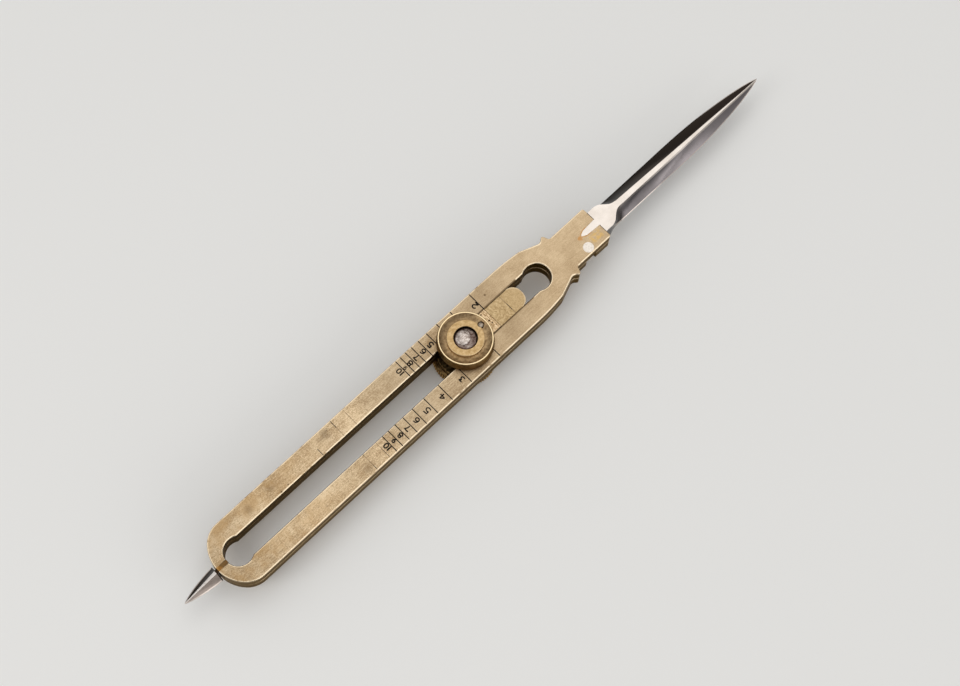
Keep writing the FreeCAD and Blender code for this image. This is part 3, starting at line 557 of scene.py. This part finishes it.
def head_metal():
    """Turned head: brown hollow with painted shade towards +Y, a thin rim worn bright with a painted
    highlight, a yellower boss with a painted highlight round its edge, and grime and painted shade round the
    stud and the pin.
    """
    g = Graph("head_nickel_silver")
    radius, rings = turned_rings(g, 0.2)
    mottle = g.noise(1.4, detail=5, rough=0.62)
    tone = g.math("MULTIPLY_ADD", rings, 0.1, g.math("MULTIPLY", mottle, 0.9))
    hollow = g.tones(tone, (0.36, 122, 98, 68), (0.5, 155, 129, 95), (0.64, 184, 157, 118))
    # Painted shade: the hollow is darker towards +Y.
    hollow = g.mix(g.both(g.step(g.y, 1.5, 4.5), 0.28), hollow, NICKEL_BROWN)
    boss = g.tones(tone, (0.36, 168, 136, 90), (0.5, 191, 160, 113), (0.64, 212, 182, 136))
    top = g.step(g.normal_z, 0.9, 0.97)
    colour = g.mix(g.both(g.step(radius, BUSH_RADIUS + 0.05, BUSH_RADIUS - 0.05), top), hollow, boss)
    # The thin rim: worn bright, with a painted highlight.
    rim = g.both(g.band(radius, RIM_RADIUS, 0.1, 0.05), g.step(g.z, RIM_TOP - 0.2, RIM_TOP - 0.08))
    colour = g.mix(rim, colour, srgb(230, 206, 164))
    wall = g.both(g.step(radius, RIM_RADIUS + 0.05, RIM_RADIUS + 0.25), g.math("SUBTRACT", 1.0, rim))
    colour = g.mix(wall, colour, g.mix(g.step(mottle, 0.35, 0.65), srgb(108, 86, 55), srgb(138, 112, 75)))
    pin = g.reach(PIN_PLACE, 0.0)
    # Painted shade in the gap round the stud.
    colour = g.mix(g.step(radius, RECESS_RADIUS + 0.08, RECESS_RADIUS - 0.02), colour, GRIME_AND_SHADE)
    joint = g.both(g.band(radius, BUSH_RADIUS, 0.02, 0.1), g.step(g.noise(0.4, detail=3), 0.42, 0.56))
    # Grime and painted shade round the lock pin, and a dark joint where the boss meets the hollow.
    keyhole = g.either(g.step(pin, 0.76, 0.62), g.both(joint, 0.6))
    colour = g.mix(keyhole, colour, srgb(76, 58, 38))
    # A painted highlight round the boss's edge, away from the pin.
    lip_slope = g.step(g.math("ABSOLUTE", g.normal_z), 0.9, 0.7)
    lip = g.both(g.band(radius, BUSH_RADIUS - 0.04, 0.05, 0.03), lip_slope)
    colour = g.mix(g.both(lip, g.step(pin, 0.7, 0.9)), colour, srgb(232, 204, 158))
    rough = g.blend(rim, g.blend(mottle, 0.32, 0.48), 0.26)
    normal = g.bump(rings, 0.22, 0.012)
    normal = g.bump(mottle, 0.15, 0.03, normal)
    return g.finish(colour, rough, normal=normal, edge=TARNISHED)


def nut_metal():
    """Milled nut: crests worn bright with a painted glint, brown valleys, upper faces darkened by painted
    shade, and turned under faces.
    """
    g = Graph("nut_nickel_silver")
    radius, rings = turned_rings(g, 0.3)
    mottle = g.noise(1.4, detail=5)
    # Painted shade: the upper faces, which lie under the legs, are darker than the turned under faces.
    face = g.tones(mottle, (0.36, 78, 60, 36), (0.52, 116, 92, 58), (0.66, 152, 126, 84))
    tone = g.math("MULTIPLY_ADD", mottle, 0.15, g.math("MULTIPLY", g.noise(0.3, detail=3), 0.65))
    tone = g.math("MULTIPLY_ADD", rings, 0.2, tone)
    turned = g.tones(tone, (0.36, 144, 119, 83), (0.5, 168, 142, 104), (0.64, 190, 164, 125))
    face = g.mix(g.step(g.normal_z, -0.6, -0.9), face, turned)
    # Crests worn bright, with a painted glint.
    crest = g.step(radius, NUT_VALLEY, NUT_CREST)
    wall = g.step(g.math("ABSOLUTE", g.normal_z), 0.6, 0.3)
    colour = g.mix(wall, face, g.mix(crest, srgb(80, 58, 33), srgb(198, 166, 114)))
    normal = g.bump(rings, 0.15, 0.015)
    return g.finish(colour, g.blend(mottle, 0.3, 0.48), normal=normal, edge=TARNISHED)


def steel_grey(level):
    """Grey of a ground facet, with a little red in it, from a level of 0 to 255."""
    return srgb(1.03 * level, 0.98 * level, 0.985 * level)


def point_steel():
    """Ground steel: bright flats, a painted highlight along the edges, painted reflections on the hollow
    facets with painted shade towards +Y, and grime and painted shade at the root.
    """
    g = Graph("point_steel")
    ground = g.noise(1.0, detail=4, where=g.stretch(12.0, 0.5, 0.5))
    cloud = g.noise(0.25, detail=3)
    stain = g.step(g.noise(0.5, detail=5, rough=0.7), 0.54, 0.72)
    short = g.step(g.x, 0, -10)
    far = g.step(g.y, -0.04, 0.04)
    side = g.math("ABSOLUTE", g.y)
    upright = g.math("ABSOLUTE", g.normal_z)
    long_bright = g.ramp(cloud, (0.35, STEEL_PALE), (0.65, srgb(219, 210, 201)))
    bright = g.mix(short, long_bright, srgb(250, 243, 236))
    ridge = g.blend(short, g.track(g.x, *LONG_RIDGE), g.track(g.x, *SHORT_RIDGE))
    flank = g.blend(short, g.track(g.x, *LONG_FLANK), g.track(g.x, *SHORT_FLANK))
    beside = g.math("SUBTRACT", side, ridge)
    edge = g.math("SUBTRACT", flank, side)
    # Painted reflections on the hollow grinding: darkest beside the ridge and where it runs out at the root,
    # and bright in mid blade.
    across = g.math("DIVIDE", beside, g.math("MAXIMUM", g.math("SUBTRACT", flank, ridge), 0.1), clamp=True)
    inner, outer = (g.shade(g.x, *[(x, steel_grey(level)) for x, level in stops]) for stops in GROUND_REFLECTIONS)
    facet = g.mix(g.step(across, 0.1, 0.9), inner, outer)
    # A painted highlight on the shoulder beside the ridge.
    shoulder_highlight = g.both(g.step(beside, 0.34, 0.22), g.track(g.x, *SHOULDER_HIGHLIGHT))
    facet = g.mix(shoulder_highlight, facet, STEEL_PALE)
    # Painted shade: the facets towards +Y are dark.
    facet = g.mix(far, facet, g.shade(g.x, *FAR_GROUND_SHADE))
    facet = g.mix(g.both(g.step(g.x, 46.5, 44.5), 0.7), facet, srgb(36, 31, 28))
    # Painted shade on the short points: grey towards -Y and dark towards +Y.
    short_facet = g.mix(far, srgb(152, 140, 132), srgb(46, 38, 32))
    facet = g.mix(short, facet, short_facet)
    facet = g.mix(g.both(stain, 0.25), facet, srgb(74, 64, 58))
    # The long ridge is rubbed a little off its middle, towards -Y.
    rubbed = g.math("MULTIPLY_ADD", g.both(far, g.step(g.x, 42, 46)), 0.18, beside)
    flat = g.both(g.step(upright, 0.95, 0.985), g.step(rubbed, 0.16, 0.06))
    colour = g.mix(flat, facet, bright)
    # The faces where the points meet are ground flat and left grey.
    mating = g.step(g.math("ABSOLUTE", g.math("SUBTRACT", g.z, MATING)), 0.05, 0.03)
    scoured = g.noise(1.0, detail=4, where=g.stretch(0.5, 14.0, 1.0))
    grey = g.tones(scoured, (0.4, 122, 117, 114), (0.6, 150, 145, 141))
    colour = g.mix(g.both(mating, g.step(upright, 0.95, 0.985)), colour, grey)
    pits = g.both(g.spots(1.6, 0.06, 0.2), short)
    colour = g.mix(g.both(pits, 0.6), colour, srgb(86, 72, 64))
    # Grime and painted shade on the upright faces, such as the shoulder at the root.
    colour = g.mix(g.step(upright, 0.2, 0.05), colour, srgb(44, 37, 32))
    # A thin painted highlight along the cutting edges.
    keen_highlight = g.blend(short, g.step(edge, 0.2, 0.08), g.step(edge, 0.24, 0.12))
    keen_highlight = g.both(keen_highlight, g.either(g.step(far, 1.0, 0.0), g.either(short, g.step(g.x, 72, 80))))
    keen_highlight = g.both(keen_highlight, g.either(short, g.step(g.x, 41, 44)))
    colour = g.mix(g.both(keen_highlight, 0.8), colour, srgb(226, 214, 204))
    # Grime and painted shade on the short points' neck, where they go into the leg.
    root = g.both(g.step(g.x, LEG_END - 0.62, LEG_END - 0.42), short)
    colour = g.mix(root, colour, srgb(48, 34, 21))
    rough = g.blend(short, g.blend(ground, 0.14, 0.26), 0.3)
    normal = g.bump(ground, 0.06, 0.008)
    normal = g.bump(pits, -0.3, 0.02, normal)
    return g.finish(colour, rough, normal=normal)


def stud_steel():
    """The stud's rough riveted end: a bright hammered face with a painted highlight, a dark seam, and a
    browner lip on one side with painted shade.
    """
    g = Graph("stud_steel")
    lumps = g.noise(0.55, detail=5, rough=0.6, distort=1.2)
    fine = g.noise(2.6, detail=5, rough=0.65)
    tone = g.math("ADD", g.math("MULTIPLY", lumps, 0.6), g.math("MULTIPLY", fine, 0.4))
    face = g.tones(
        tone,
        (0.38, 118, 102, 94),
        (0.48, 178, 164, 154),
        (0.56, 222, 211, 202),
        (0.66, 246, 238, 231),
    )
    lip = g.tones(tone, (0.38, 96, 74, 64), (0.5, 150, 130, 120), (0.62, 204, 190, 178))
    # Painted highlight and shade of the dome: the face lies towards -X and +Y, the lip on the other side.
    seam_reach = g.math("MULTIPLY_ADD", g.math("SUBTRACT", fine, 0.5), 0.9, g.reach(-0.3, 0.55))
    colour = g.mix(g.step(seam_reach, 1.5, 1.8), face, lip)
    colour = g.mix(g.both(g.band(seam_reach, 1.7, 0.03, 0.14), 0.75), colour, srgb(64, 46, 40))
    radius = g.vector("LENGTH", g.stretch(1.0, 1.0, 0.0))
    rust = g.both(g.step(radius, 2.0, 2.2), g.step(g.noise(0.8, detail=4), 0.36, 0.56))
    colour = g.mix(g.both(rust, 0.7), colour, srgb(112, 72, 58))
    # Painted shade at the stud's edge, in the gap to the recess.
    colour = g.mix(g.step(radius, STUD_RADIUS - 0.04, STUD_RADIUS), colour, GRIME_AND_SHADE)
    normal = g.bump(lumps, 0.5, 0.14)
    normal = g.bump(fine, 0.35, 0.04, normal)
    normal = g.bump(g.band(seam_reach, 1.7, 0.05, 0.2), -0.7, 0.08, normal)
    return g.finish(colour, g.blend(fine, 0.22, 0.42), normal=normal)


def pin_steel():
    """Small bright pin ends."""
    g = Graph("pin_steel")
    cloud = g.noise(2.2, detail=4)
    colour = g.tones(cloud, (0.35, 204, 194, 182), (0.65, 226, 217, 205))
    normal = g.bump(cloud, 0.12, 0.02)
    return g.finish(colour, g.blend(cloud, 0.24, 0.4), normal=normal)


def lock_pin_steel():
    """The lock pin: dull grey, dark at its edge with grime and painted shade."""
    g = Graph("lock_pin_steel")
    cloud = g.noise(2.6, detail=4)
    colour = g.tones(cloud, (0.35, 140, 126, 110), (0.65, 196, 182, 164))
    # Grime and painted shade round the pin's edge.
    colour = g.mix(g.step(g.reach(PIN_PLACE, 0.0), 0.49, 0.56), colour, srgb(60, 46, 32))
    normal = g.bump(cloud, 0.4, 0.04)
    return g.finish(colour, g.blend(cloud, 0.36, 0.55), normal=normal)


def engraving_fill():
    """Dark wax in the engraved lines, worn thin in places."""
    g = Graph("engraving_fill")
    worn = g.noise(1.7, detail=4)
    colour = g.tones(worn, (0.42, 22, 17, 12), (0.7, 54, 42, 28))
    normal = g.bump(g.noise(6.0, detail=3), 0.4, 0.02)
    return g.finish(colour, 0.6, metallic=0.0, normal=normal, gloss=0.2)


def faint_line():
    """A light scribed line that has lost its filling."""
    g = Graph("faint_scribed_line")
    worn = g.noise(1.2, detail=4)
    colour = g.tones(worn, (0.4, 112, 88, 60), (0.62, 168, 142, 106))
    return g.finish(colour, 0.5, metallic=0.5)


def braze():
    """Old braze over the short tangs: orange at the leg's end, and burnt brown towards the eye."""
    g = Graph("braze")
    patch = g.noise(1.3, detail=5)
    colour = g.tones(patch, (0.36, 140, 98, 48), (0.52, 166, 122, 64), (0.66, 190, 148, 90))
    burnt = g.math("MULTIPLY_ADD", g.y, 0.5, g.math("SUBTRACT", g.x, LEG_END))
    burnt = g.math("MULTIPLY_ADD", g.math("SUBTRACT", patch, 0.5), 1.2, burnt)
    colour = g.mix(g.both(g.step(burnt, 0.6, 1.3), 0.82), colour, srgb(102, 75, 44))
    normal = g.bump(patch, 0.4, 0.05)
    return g.finish(colour, g.blend(patch, 0.36, 0.55), metallic=0.85, normal=normal)


LEG_METAL = leg_metal()
MATERIALS = {
    "upper_leg": LEG_METAL,
    "lower_leg": LEG_METAL,
    "head_ring": head_metal(),
    "clamp_nut": nut_metal(),
    "upper_slide": slide_metal(),
    "upper_long_point": point_steel(),
    "pivot_stud": stud_steel(),
    "steady_pin": pin_steel(),
}
MATERIALS["head_bush"] = MATERIALS["head_ring"]
MATERIALS["nut_washer"] = MATERIALS["clamp_nut"]
MATERIALS["lower_slide"] = MATERIALS["upper_slide"]
MATERIALS["head_lock_pin"] = lock_pin_steel()
for point in ("lower_long_point", "upper_short_point", "lower_short_point"):
    MATERIALS[point] = MATERIALS["upper_long_point"]
for node, material in MATERIALS.items():
    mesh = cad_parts[node].data
    mesh.materials.clear()
    mesh.materials.append(material)
ENGRAVING = engraving_fill()
FAINT = faint_line()
BRAZE = braze()


# ---------------------------------------------------------------------------------------------------
# Engraved lines: flat ribbons of dark fill, a few thousandths of a millimetre proud of the face
# ---------------------------------------------------------------------------------------------------
FILL_PROUD = 0.006
FILL_DEPTH = 0.03
SHARP_TURN = math.radians(40)


class Ribbons:
    """Collects ribbons on one level face, and makes one piece of them."""

    def __init__(self, name, height, up=1):
        self.name = name
        self.height = height
        self.up = up
        self.mesh = bmesh.new()

    def draw(self, path, width):
        """A stroke along a path of (x, y) in millimetres, with a blot at each sharp corner."""
        path = [Vector(point).to_2d() for point in path]
        start = 0
        for index in range(1, len(path) - 1):
            if (path[index] - path[index - 1]).angle(path[index + 1] - path[index]) > SHARP_TURN:
                self.ribbon(path[start : index + 1], width)
                blot = Vector((0.45 * width, 0))
                self.ribbon([path[index] - blot, path[index] + blot], width * 0.9)
                start = index
        self.ribbon(path[start:], width)

    def ribbon(self, path, width, last_width=None):
        """One ribbon without sharp corners, which may change its width along the way."""
        grow = 0 if last_width is None else last_width - width
        path = [Vector(point).to_2d() for point in path]
        sides = []
        for index, point in enumerate(path):
            before = path[max(index - 1, 0)]
            after = path[min(index + 1, len(path) - 1)]
            along = (after - before).normalized()
            across = Vector((-along.y, along.x)) * (width + grow * index / (len(path) - 1)) / 2
            sides.append((point + across, point - across))
        top_z = (self.height + FILL_PROUD * self.up) * MM
        foot_z = (self.height - FILL_DEPTH * self.up) * MM
        rows = []
        for corners in sides:
            top = [self.mesh.verts.new((p.x * MM, p.y * MM, top_z)) for p in corners]
            foot = [self.mesh.verts.new((p.x * MM, p.y * MM, foot_z)) for p in corners]
            rows.append((top[0], top[1], foot[1], foot[0]))
        for one, two in zip(rows, rows[1:]):
            for a in range(4):
                b = (a + 1) % 4
                self.mesh.faces.new((one[a], one[b], two[b], two[a]))
        self.mesh.faces.new(rows[0][::-1])
        self.mesh.faces.new(rows[-1])

    def make(self, body, material):
        bmesh.ops.recalc_face_normals(self.mesh, faces=self.mesh.faces)
        data = bpy.data.meshes.new(self.name)
        self.mesh.to_mesh(data)
        self.mesh.free()
        data.materials.append(material)
        piece = bpy.data.objects.new(self.name, data)
        bpy.context.scene.collection.objects.link(piece)
        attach(piece, body)


def arc(centre_x, centre_y, radius_x, radius_y, start, end, steps=14):
    """Points on an ellipse's arc, angles in degrees."""
    angles = [math.radians(start + (end - start) * step / steps) for step in range(steps + 1)]
    return [(centre_x + radius_x * math.cos(a), centre_y + radius_y * math.sin(a)) for a in angles]


# Single-line numerals in a box 0.8 wide and 1 tall, with the short bars that stand for serifs.
NUMERAL_WIDTH = 0.8
NUMERALS = {
    "0": [arc(0.4, 0.5, 0.35, 0.5, 90, 450, 24)],
    "1": [
        [(0.4, 0.0), (0.4, 1.0)],
        [(0.42, 0.0), (0.42, 1.0)],
        [(0.26, 0.0), (0.54, 0.0)],
        [(0.3, 0.96), (0.42, 1.0)],
    ],
    "2": [
        [(0.08, 0.7)] + arc(0.4, 0.72, 0.32, 0.28, 165, -40) + [(0.1, 0.06)],
        [(0.08, 0.04), (0.4, 0.06), (0.78, 0.0)],
        [(0.5, 0.1), (0.8, 0.06)],
    ],
    "3": [
        [(0.12, 0.88), (0.16, 1.0), (0.72, 0.98), (0.38, 0.6)],
        arc(0.38, 0.3, 0.38, 0.3, 90, -150),
    ],
    "4": [
        [(0.6, 1.0), (-0.1, 0.34)],
        [(-0.08, 0.36), (0.94, 0.34)],
        [(0.6, 1.0), (0.6, 0.02)],
        [(0.44, 0.0), (0.78, 0.0)],
        [(0.94, 0.22), (0.94, 0.46)],
    ],
    "5": [
        [(0.78, 1.0), (0.16, 0.98), (0.12, 0.56)],
        arc(0.38, 0.31, 0.38, 0.31, 138, -150),
    ],
    "6": [
        arc(0.4, 0.31, 0.37, 0.31, 0, 360, 20),
        arc(0.54, 0.36, 0.51, 0.64, 180, 66),
    ],
    "7": [
        [(0.04, 0.84), (0.06, 1.0), (0.78, 0.96), (0.52, 0.5), (0.46, 0.0)],
        [(0.04, 0.96), (0.4, 0.98)],
    ],
    "8": [
        arc(0.4, 0.77, 0.29, 0.23, 90, 450, 18),
        arc(0.4, 0.27, 0.38, 0.27, 90, 450, 20),
    ],
    "9": [
        arc(0.4, 0.7, 0.36, 0.3, 180, 540, 20),
        arc(0.26, 0.62, 0.5, 0.62, 0, -108),
    ],
}
# Width that each digit of a number takes up: the 1 stands close to its neighbour.
NUMERAL_ADVANCE = {"1": 0.55, "0": 0.98}


def numeral_strokes(text, top_x, middle_y, tall):
    """Centre lines of a number whose top faces -X and which reads towards +Y."""
    steps = [NUMERAL_ADVANCE.get(digit, NUMERAL_WIDTH) * tall for digit in text]
    start_y = middle_y - sum(steps) / 2
    for digit, step in zip(text, steps):
        middle = start_y + step / 2 - NUMERAL_WIDTH * tall / 2
        for stroke in NUMERALS[digit]:
            yield [(top_x + tall * (1 - up), middle + tall * right) for right, up in stroke]
        start_y += step


# The slide's index line stands INDEX_X from the pivot. The mark for n shows where the long arm is the square
# root or the cube root of n times the short one: the areas or volumes on the spans are then as n to 1.
POINT_WEAR = 1.7
DIVIDED_LENGTH = 171.0
INDEX_X = 12.4
SHORT_TIP = SHORT_POINT[0].x
HALF_WIDTH = UPPER_LEG[1].y
MARK_WIDTH = 0.22
STROKE_WIDTH = 0.28
INDEX_WIDTH = 0.16
FAINT_INDEX_WIDTH = 0.15
FAINT_WIDTH = 0.12
BRAZE_WIDTH = 1.0
BRAZE_LAST_WIDTH = 0.76
# Each bar's marks: the root that its scale takes, its edges, and for each number the gap from its foot to its
# mark, its height, its middle, and its stroke where it is stamped deeper or lighter than the others.
BARS = (
    {
        "root": 3,
        "inner": SLOT_HALF + 0.02,
        "outer": HALF_WIDTH - 0.14,
        "numbers": {
            2: (0.0, 1.6, 4.46, 0.3),
            3: (0.3, 1.35, 4.66),
            4: (0.3, 1.35, 4.66),
            5: (0.3, 1.54, 4.68, 0.33),
            6: (0.1, 1.4, 4.7),
            7: (-0.04, 1.44, 4.66),
            8: (0.16, 1.46, 4.72, 0.32),
            9: (0.32, 0.92, 4.66, 0.2),
            10: (0.22, 1.36, 4.78),
        },
    },
    {
        "root": 2,
        "inner": -SLOT_HALF - 0.02,
        "outer": -HALF_WIDTH + 0.14,
        "numbers": {
            2: (0.3, 1.4, -5.15),
            3: (0.4, 1.38, -5.26, 0.32),
            4: (0.46, 1.38, -5.2),
            5: (0.44, 1.6, -5.16),
            6: (0.3, 1.42, -5.14),
            7: (0.06, 1.48, -5.16),
            8: (0.08, 1.34, -5.12, 0.3),
            9: (0.0, 1.14, -5.07, 0.3),
            10: (0.08, 1.4, -5.03, 0.32),
        },
    },
)


def mark_x(ratio, root):
    """Where the mark of a ratio stands, whose square root (2) or cube root (3) the arms take."""
    short_reach = DIVIDED_LENGTH / (1 + ratio ** (1 / root))
    return SHORT_TIP - POINT_WEAR + short_reach + INDEX_X


def scale_marks():
    marks = Ribbons("upper_leg_scale_marks", TOP_FACE)
    numbers = Ribbons("upper_leg_scale_numbers", TOP_FACE)
    for bar in BARS:
        for ratio in range(2, 11):
            x = mark_x(ratio, bar["root"])
            marks.draw([(x, bar["inner"]), (x, bar["outer"])], MARK_WIDTH)
            gap, tall, middle_y, *special = bar["numbers"][ratio]
            width = special[0] if special else STROKE_WIDTH
            top_x = x - gap - tall + width / 2
            for stroke in numeral_strokes(str(ratio), top_x, middle_y, tall - width):
                numbers.draw(stroke, width)
    marks.make("upper_arm", ENGRAVING)
    numbers.make("upper_arm", ENGRAVING)


def index_line():
    """The slide's index line: dark in the middle, and worn faint towards both edges."""
    lowered_face = UPPER_SLIDE[1].z - STEP_DEPTH
    dark = Ribbons("upper_slide_index_line", lowered_face)
    dark.draw([(INDEX_X, -1.35), (INDEX_X, 0.25)], INDEX_WIDTH)
    dark.make("head", ENGRAVING)
    faint = Ribbons("upper_slide_faint_index_line", lowered_face)
    for start, end in ((-2.45, -1.35), (0.25, 2.45)):
        faint.draw([(INDEX_X, start), (INDEX_X, end)], FAINT_INDEX_WIDTH)
    faint.make("head", FAINT)


def stray_lines():
    """Old setting-out lines beyond the scales: some still dark in short runs, the others worn faint."""
    dark = Ribbons("upper_leg_dark_lines", TOP_FACE)
    for x, inner, outer, width in (
        (-32.0, 5.2, 7.05, 0.15),
        (-37.87, 2.75, 4.5, 0.15),
        (-28.4, -4.9, -7.05, 0.11),
        (-32.0, -2.75, -3.15, 0.13),
        (-32.0, -5.9, -7.05, 0.13),
    ):
        dark.draw([(x, inner), (x, outer)], width)
    dark.make("upper_arm", ENGRAVING)
    faint = Ribbons("upper_leg_faint_lines", TOP_FACE)
    for x, inner, outer in (
        (-28.45, 2.75, 7.05),
        (-32.0, 2.75, 5.2),
        (-24.9, 3.4, 3.9),
        (-28.4, -2.75, -4.9),
        (-32.0, -3.15, -5.9),
    ):
        faint.draw([(x, inner), (x, outer)], FAINT_WIDTH)
    faint.make("upper_arm", FAINT)


def braze_fills():
    """Braze flush with the leg's face over each short point's tang, from the leg's end to its slot."""
    for name, height, up, body in (
        ("upper_tang_braze", TOP_FACE, 1, "upper_arm"),
        ("lower_tang_braze", UNDER_FACE, -1, "lower_arm"),
    ):
        fill = Ribbons(name, height, up)
        fill.ribbon([(LEG_END + 0.12, 0), (LEG_END + END_LAND + 0.1, 0)], BRAZE_WIDTH, BRAZE_LAST_WIDTH)
        fill.make(body, BRAZE)


scale_marks()
index_line()
stray_lines()
braze_fills()


# ---------------------------------------------------------------------------------------------------
# Floor, light and camera
# ---------------------------------------------------------------------------------------------------
FLOOR_GAP = 0.02
# The camera's image plane: focal length and image width in pixels.
FOCAL_PIXELS = 1838
IMAGE_PIXELS = 960
SENSOR_WIDTH = 36.0


def plain_floor():
    """A pale floor just below the divider."""
    bpy.ops.mesh.primitive_plane_add(size=6.0, location=(0, 0, -FLOOR_GAP * MM))
    floor = bpy.context.object
    floor.name = "floor"
    material = bpy.data.materials.new("pale_floor")
    material.use_nodes = True
    shader = material.node_tree.nodes["Principled BSDF"]
    shader.inputs["Base Color"].default_value = srgb(240, 239, 236)
    shader.inputs["Roughness"].default_value = 0.8
    floor.data.materials.append(material)


def soft_world():
    """A plain grey room, paler overhead."""
    world = bpy.data.worlds.new("studio")
    bpy.context.scene.world = world
    world.use_nodes = True
    tree = world.node_tree
    background = tree.nodes["Background"]
    coords = tree.nodes.new("ShaderNodeTexCoord")
    split = tree.nodes.new("ShaderNodeSeparateXYZ")
    ramp = tree.nodes.new("ShaderNodeValToRGB")
    ramp.color_ramp.elements[0].position = 0.0
    ramp.color_ramp.elements[0].color = (0.3, 0.3, 0.3, 1)
    ramp.color_ramp.elements[1].position = 0.75
    ramp.color_ramp.elements[1].color = (0.62, 0.62, 0.62, 1)
    tree.links.new(coords.outputs["Generated"], split.inputs[0])
    tree.links.new(split.outputs[2], ramp.inputs["Fac"])
    tree.links.new(ramp.outputs["Color"], background.inputs["Color"])
    background.inputs["Strength"].default_value = 1.0


def softbox(name, place, width, height, level):
    """Square lamp that faces the object and shines with the given radiance."""
    data = bpy.data.lights.new(name, "AREA")
    data.shape = "RECTANGLE"
    data.size, data.size_y = width, height
    data.energy = level * math.pi * width * height
    lamp = bpy.data.objects.new(name, data)
    bpy.context.scene.collection.objects.link(lamp)
    lamp.location = place
    lamp.rotation_euler = (-Vector(place)).to_track_quat("-Z", "Y").to_euler()


def photo_camera():
    """Camera at the fitted place, 71 degrees above the floor."""
    place = Vector((-94.66, -83.3, TOP_FACE + 362.7)) * MM
    forward = Vector((0.2521, 0.2112, -0.9444)).normalized()
    right = Vector((0.7122, -0.7012, 0.0333))
    right = (right - forward * right.dot(forward)).normalized()
    up = right.cross(forward)
    data = bpy.data.cameras.new("camera")
    data.sensor_width = SENSOR_WIDTH
    data.lens = SENSOR_WIDTH * FOCAL_PIXELS / IMAGE_PIXELS
    data.clip_start = 0.01
    camera = bpy.data.objects.new("camera", data)
    camera.matrix_world = Matrix.Translation(place) @ Matrix((right, up, -forward)).transposed().to_4x4()
    bpy.context.scene.collection.objects.link(camera)
    bpy.context.scene.camera = camera


plain_floor()
soft_world()
softbox("overhead", (0.22, 0.18, 0.80), 0.62, 0.62, 0.82)
softbox("key_left", (-0.62, 0.12, 0.52), 0.40, 0.40, 2.4)
softbox("low_right", (0.12, -0.84, 0.34), 1.00, 0.44, 1.25)
photo_camera()
bpy.context.scene.view_settings.view_transform = "Standard"
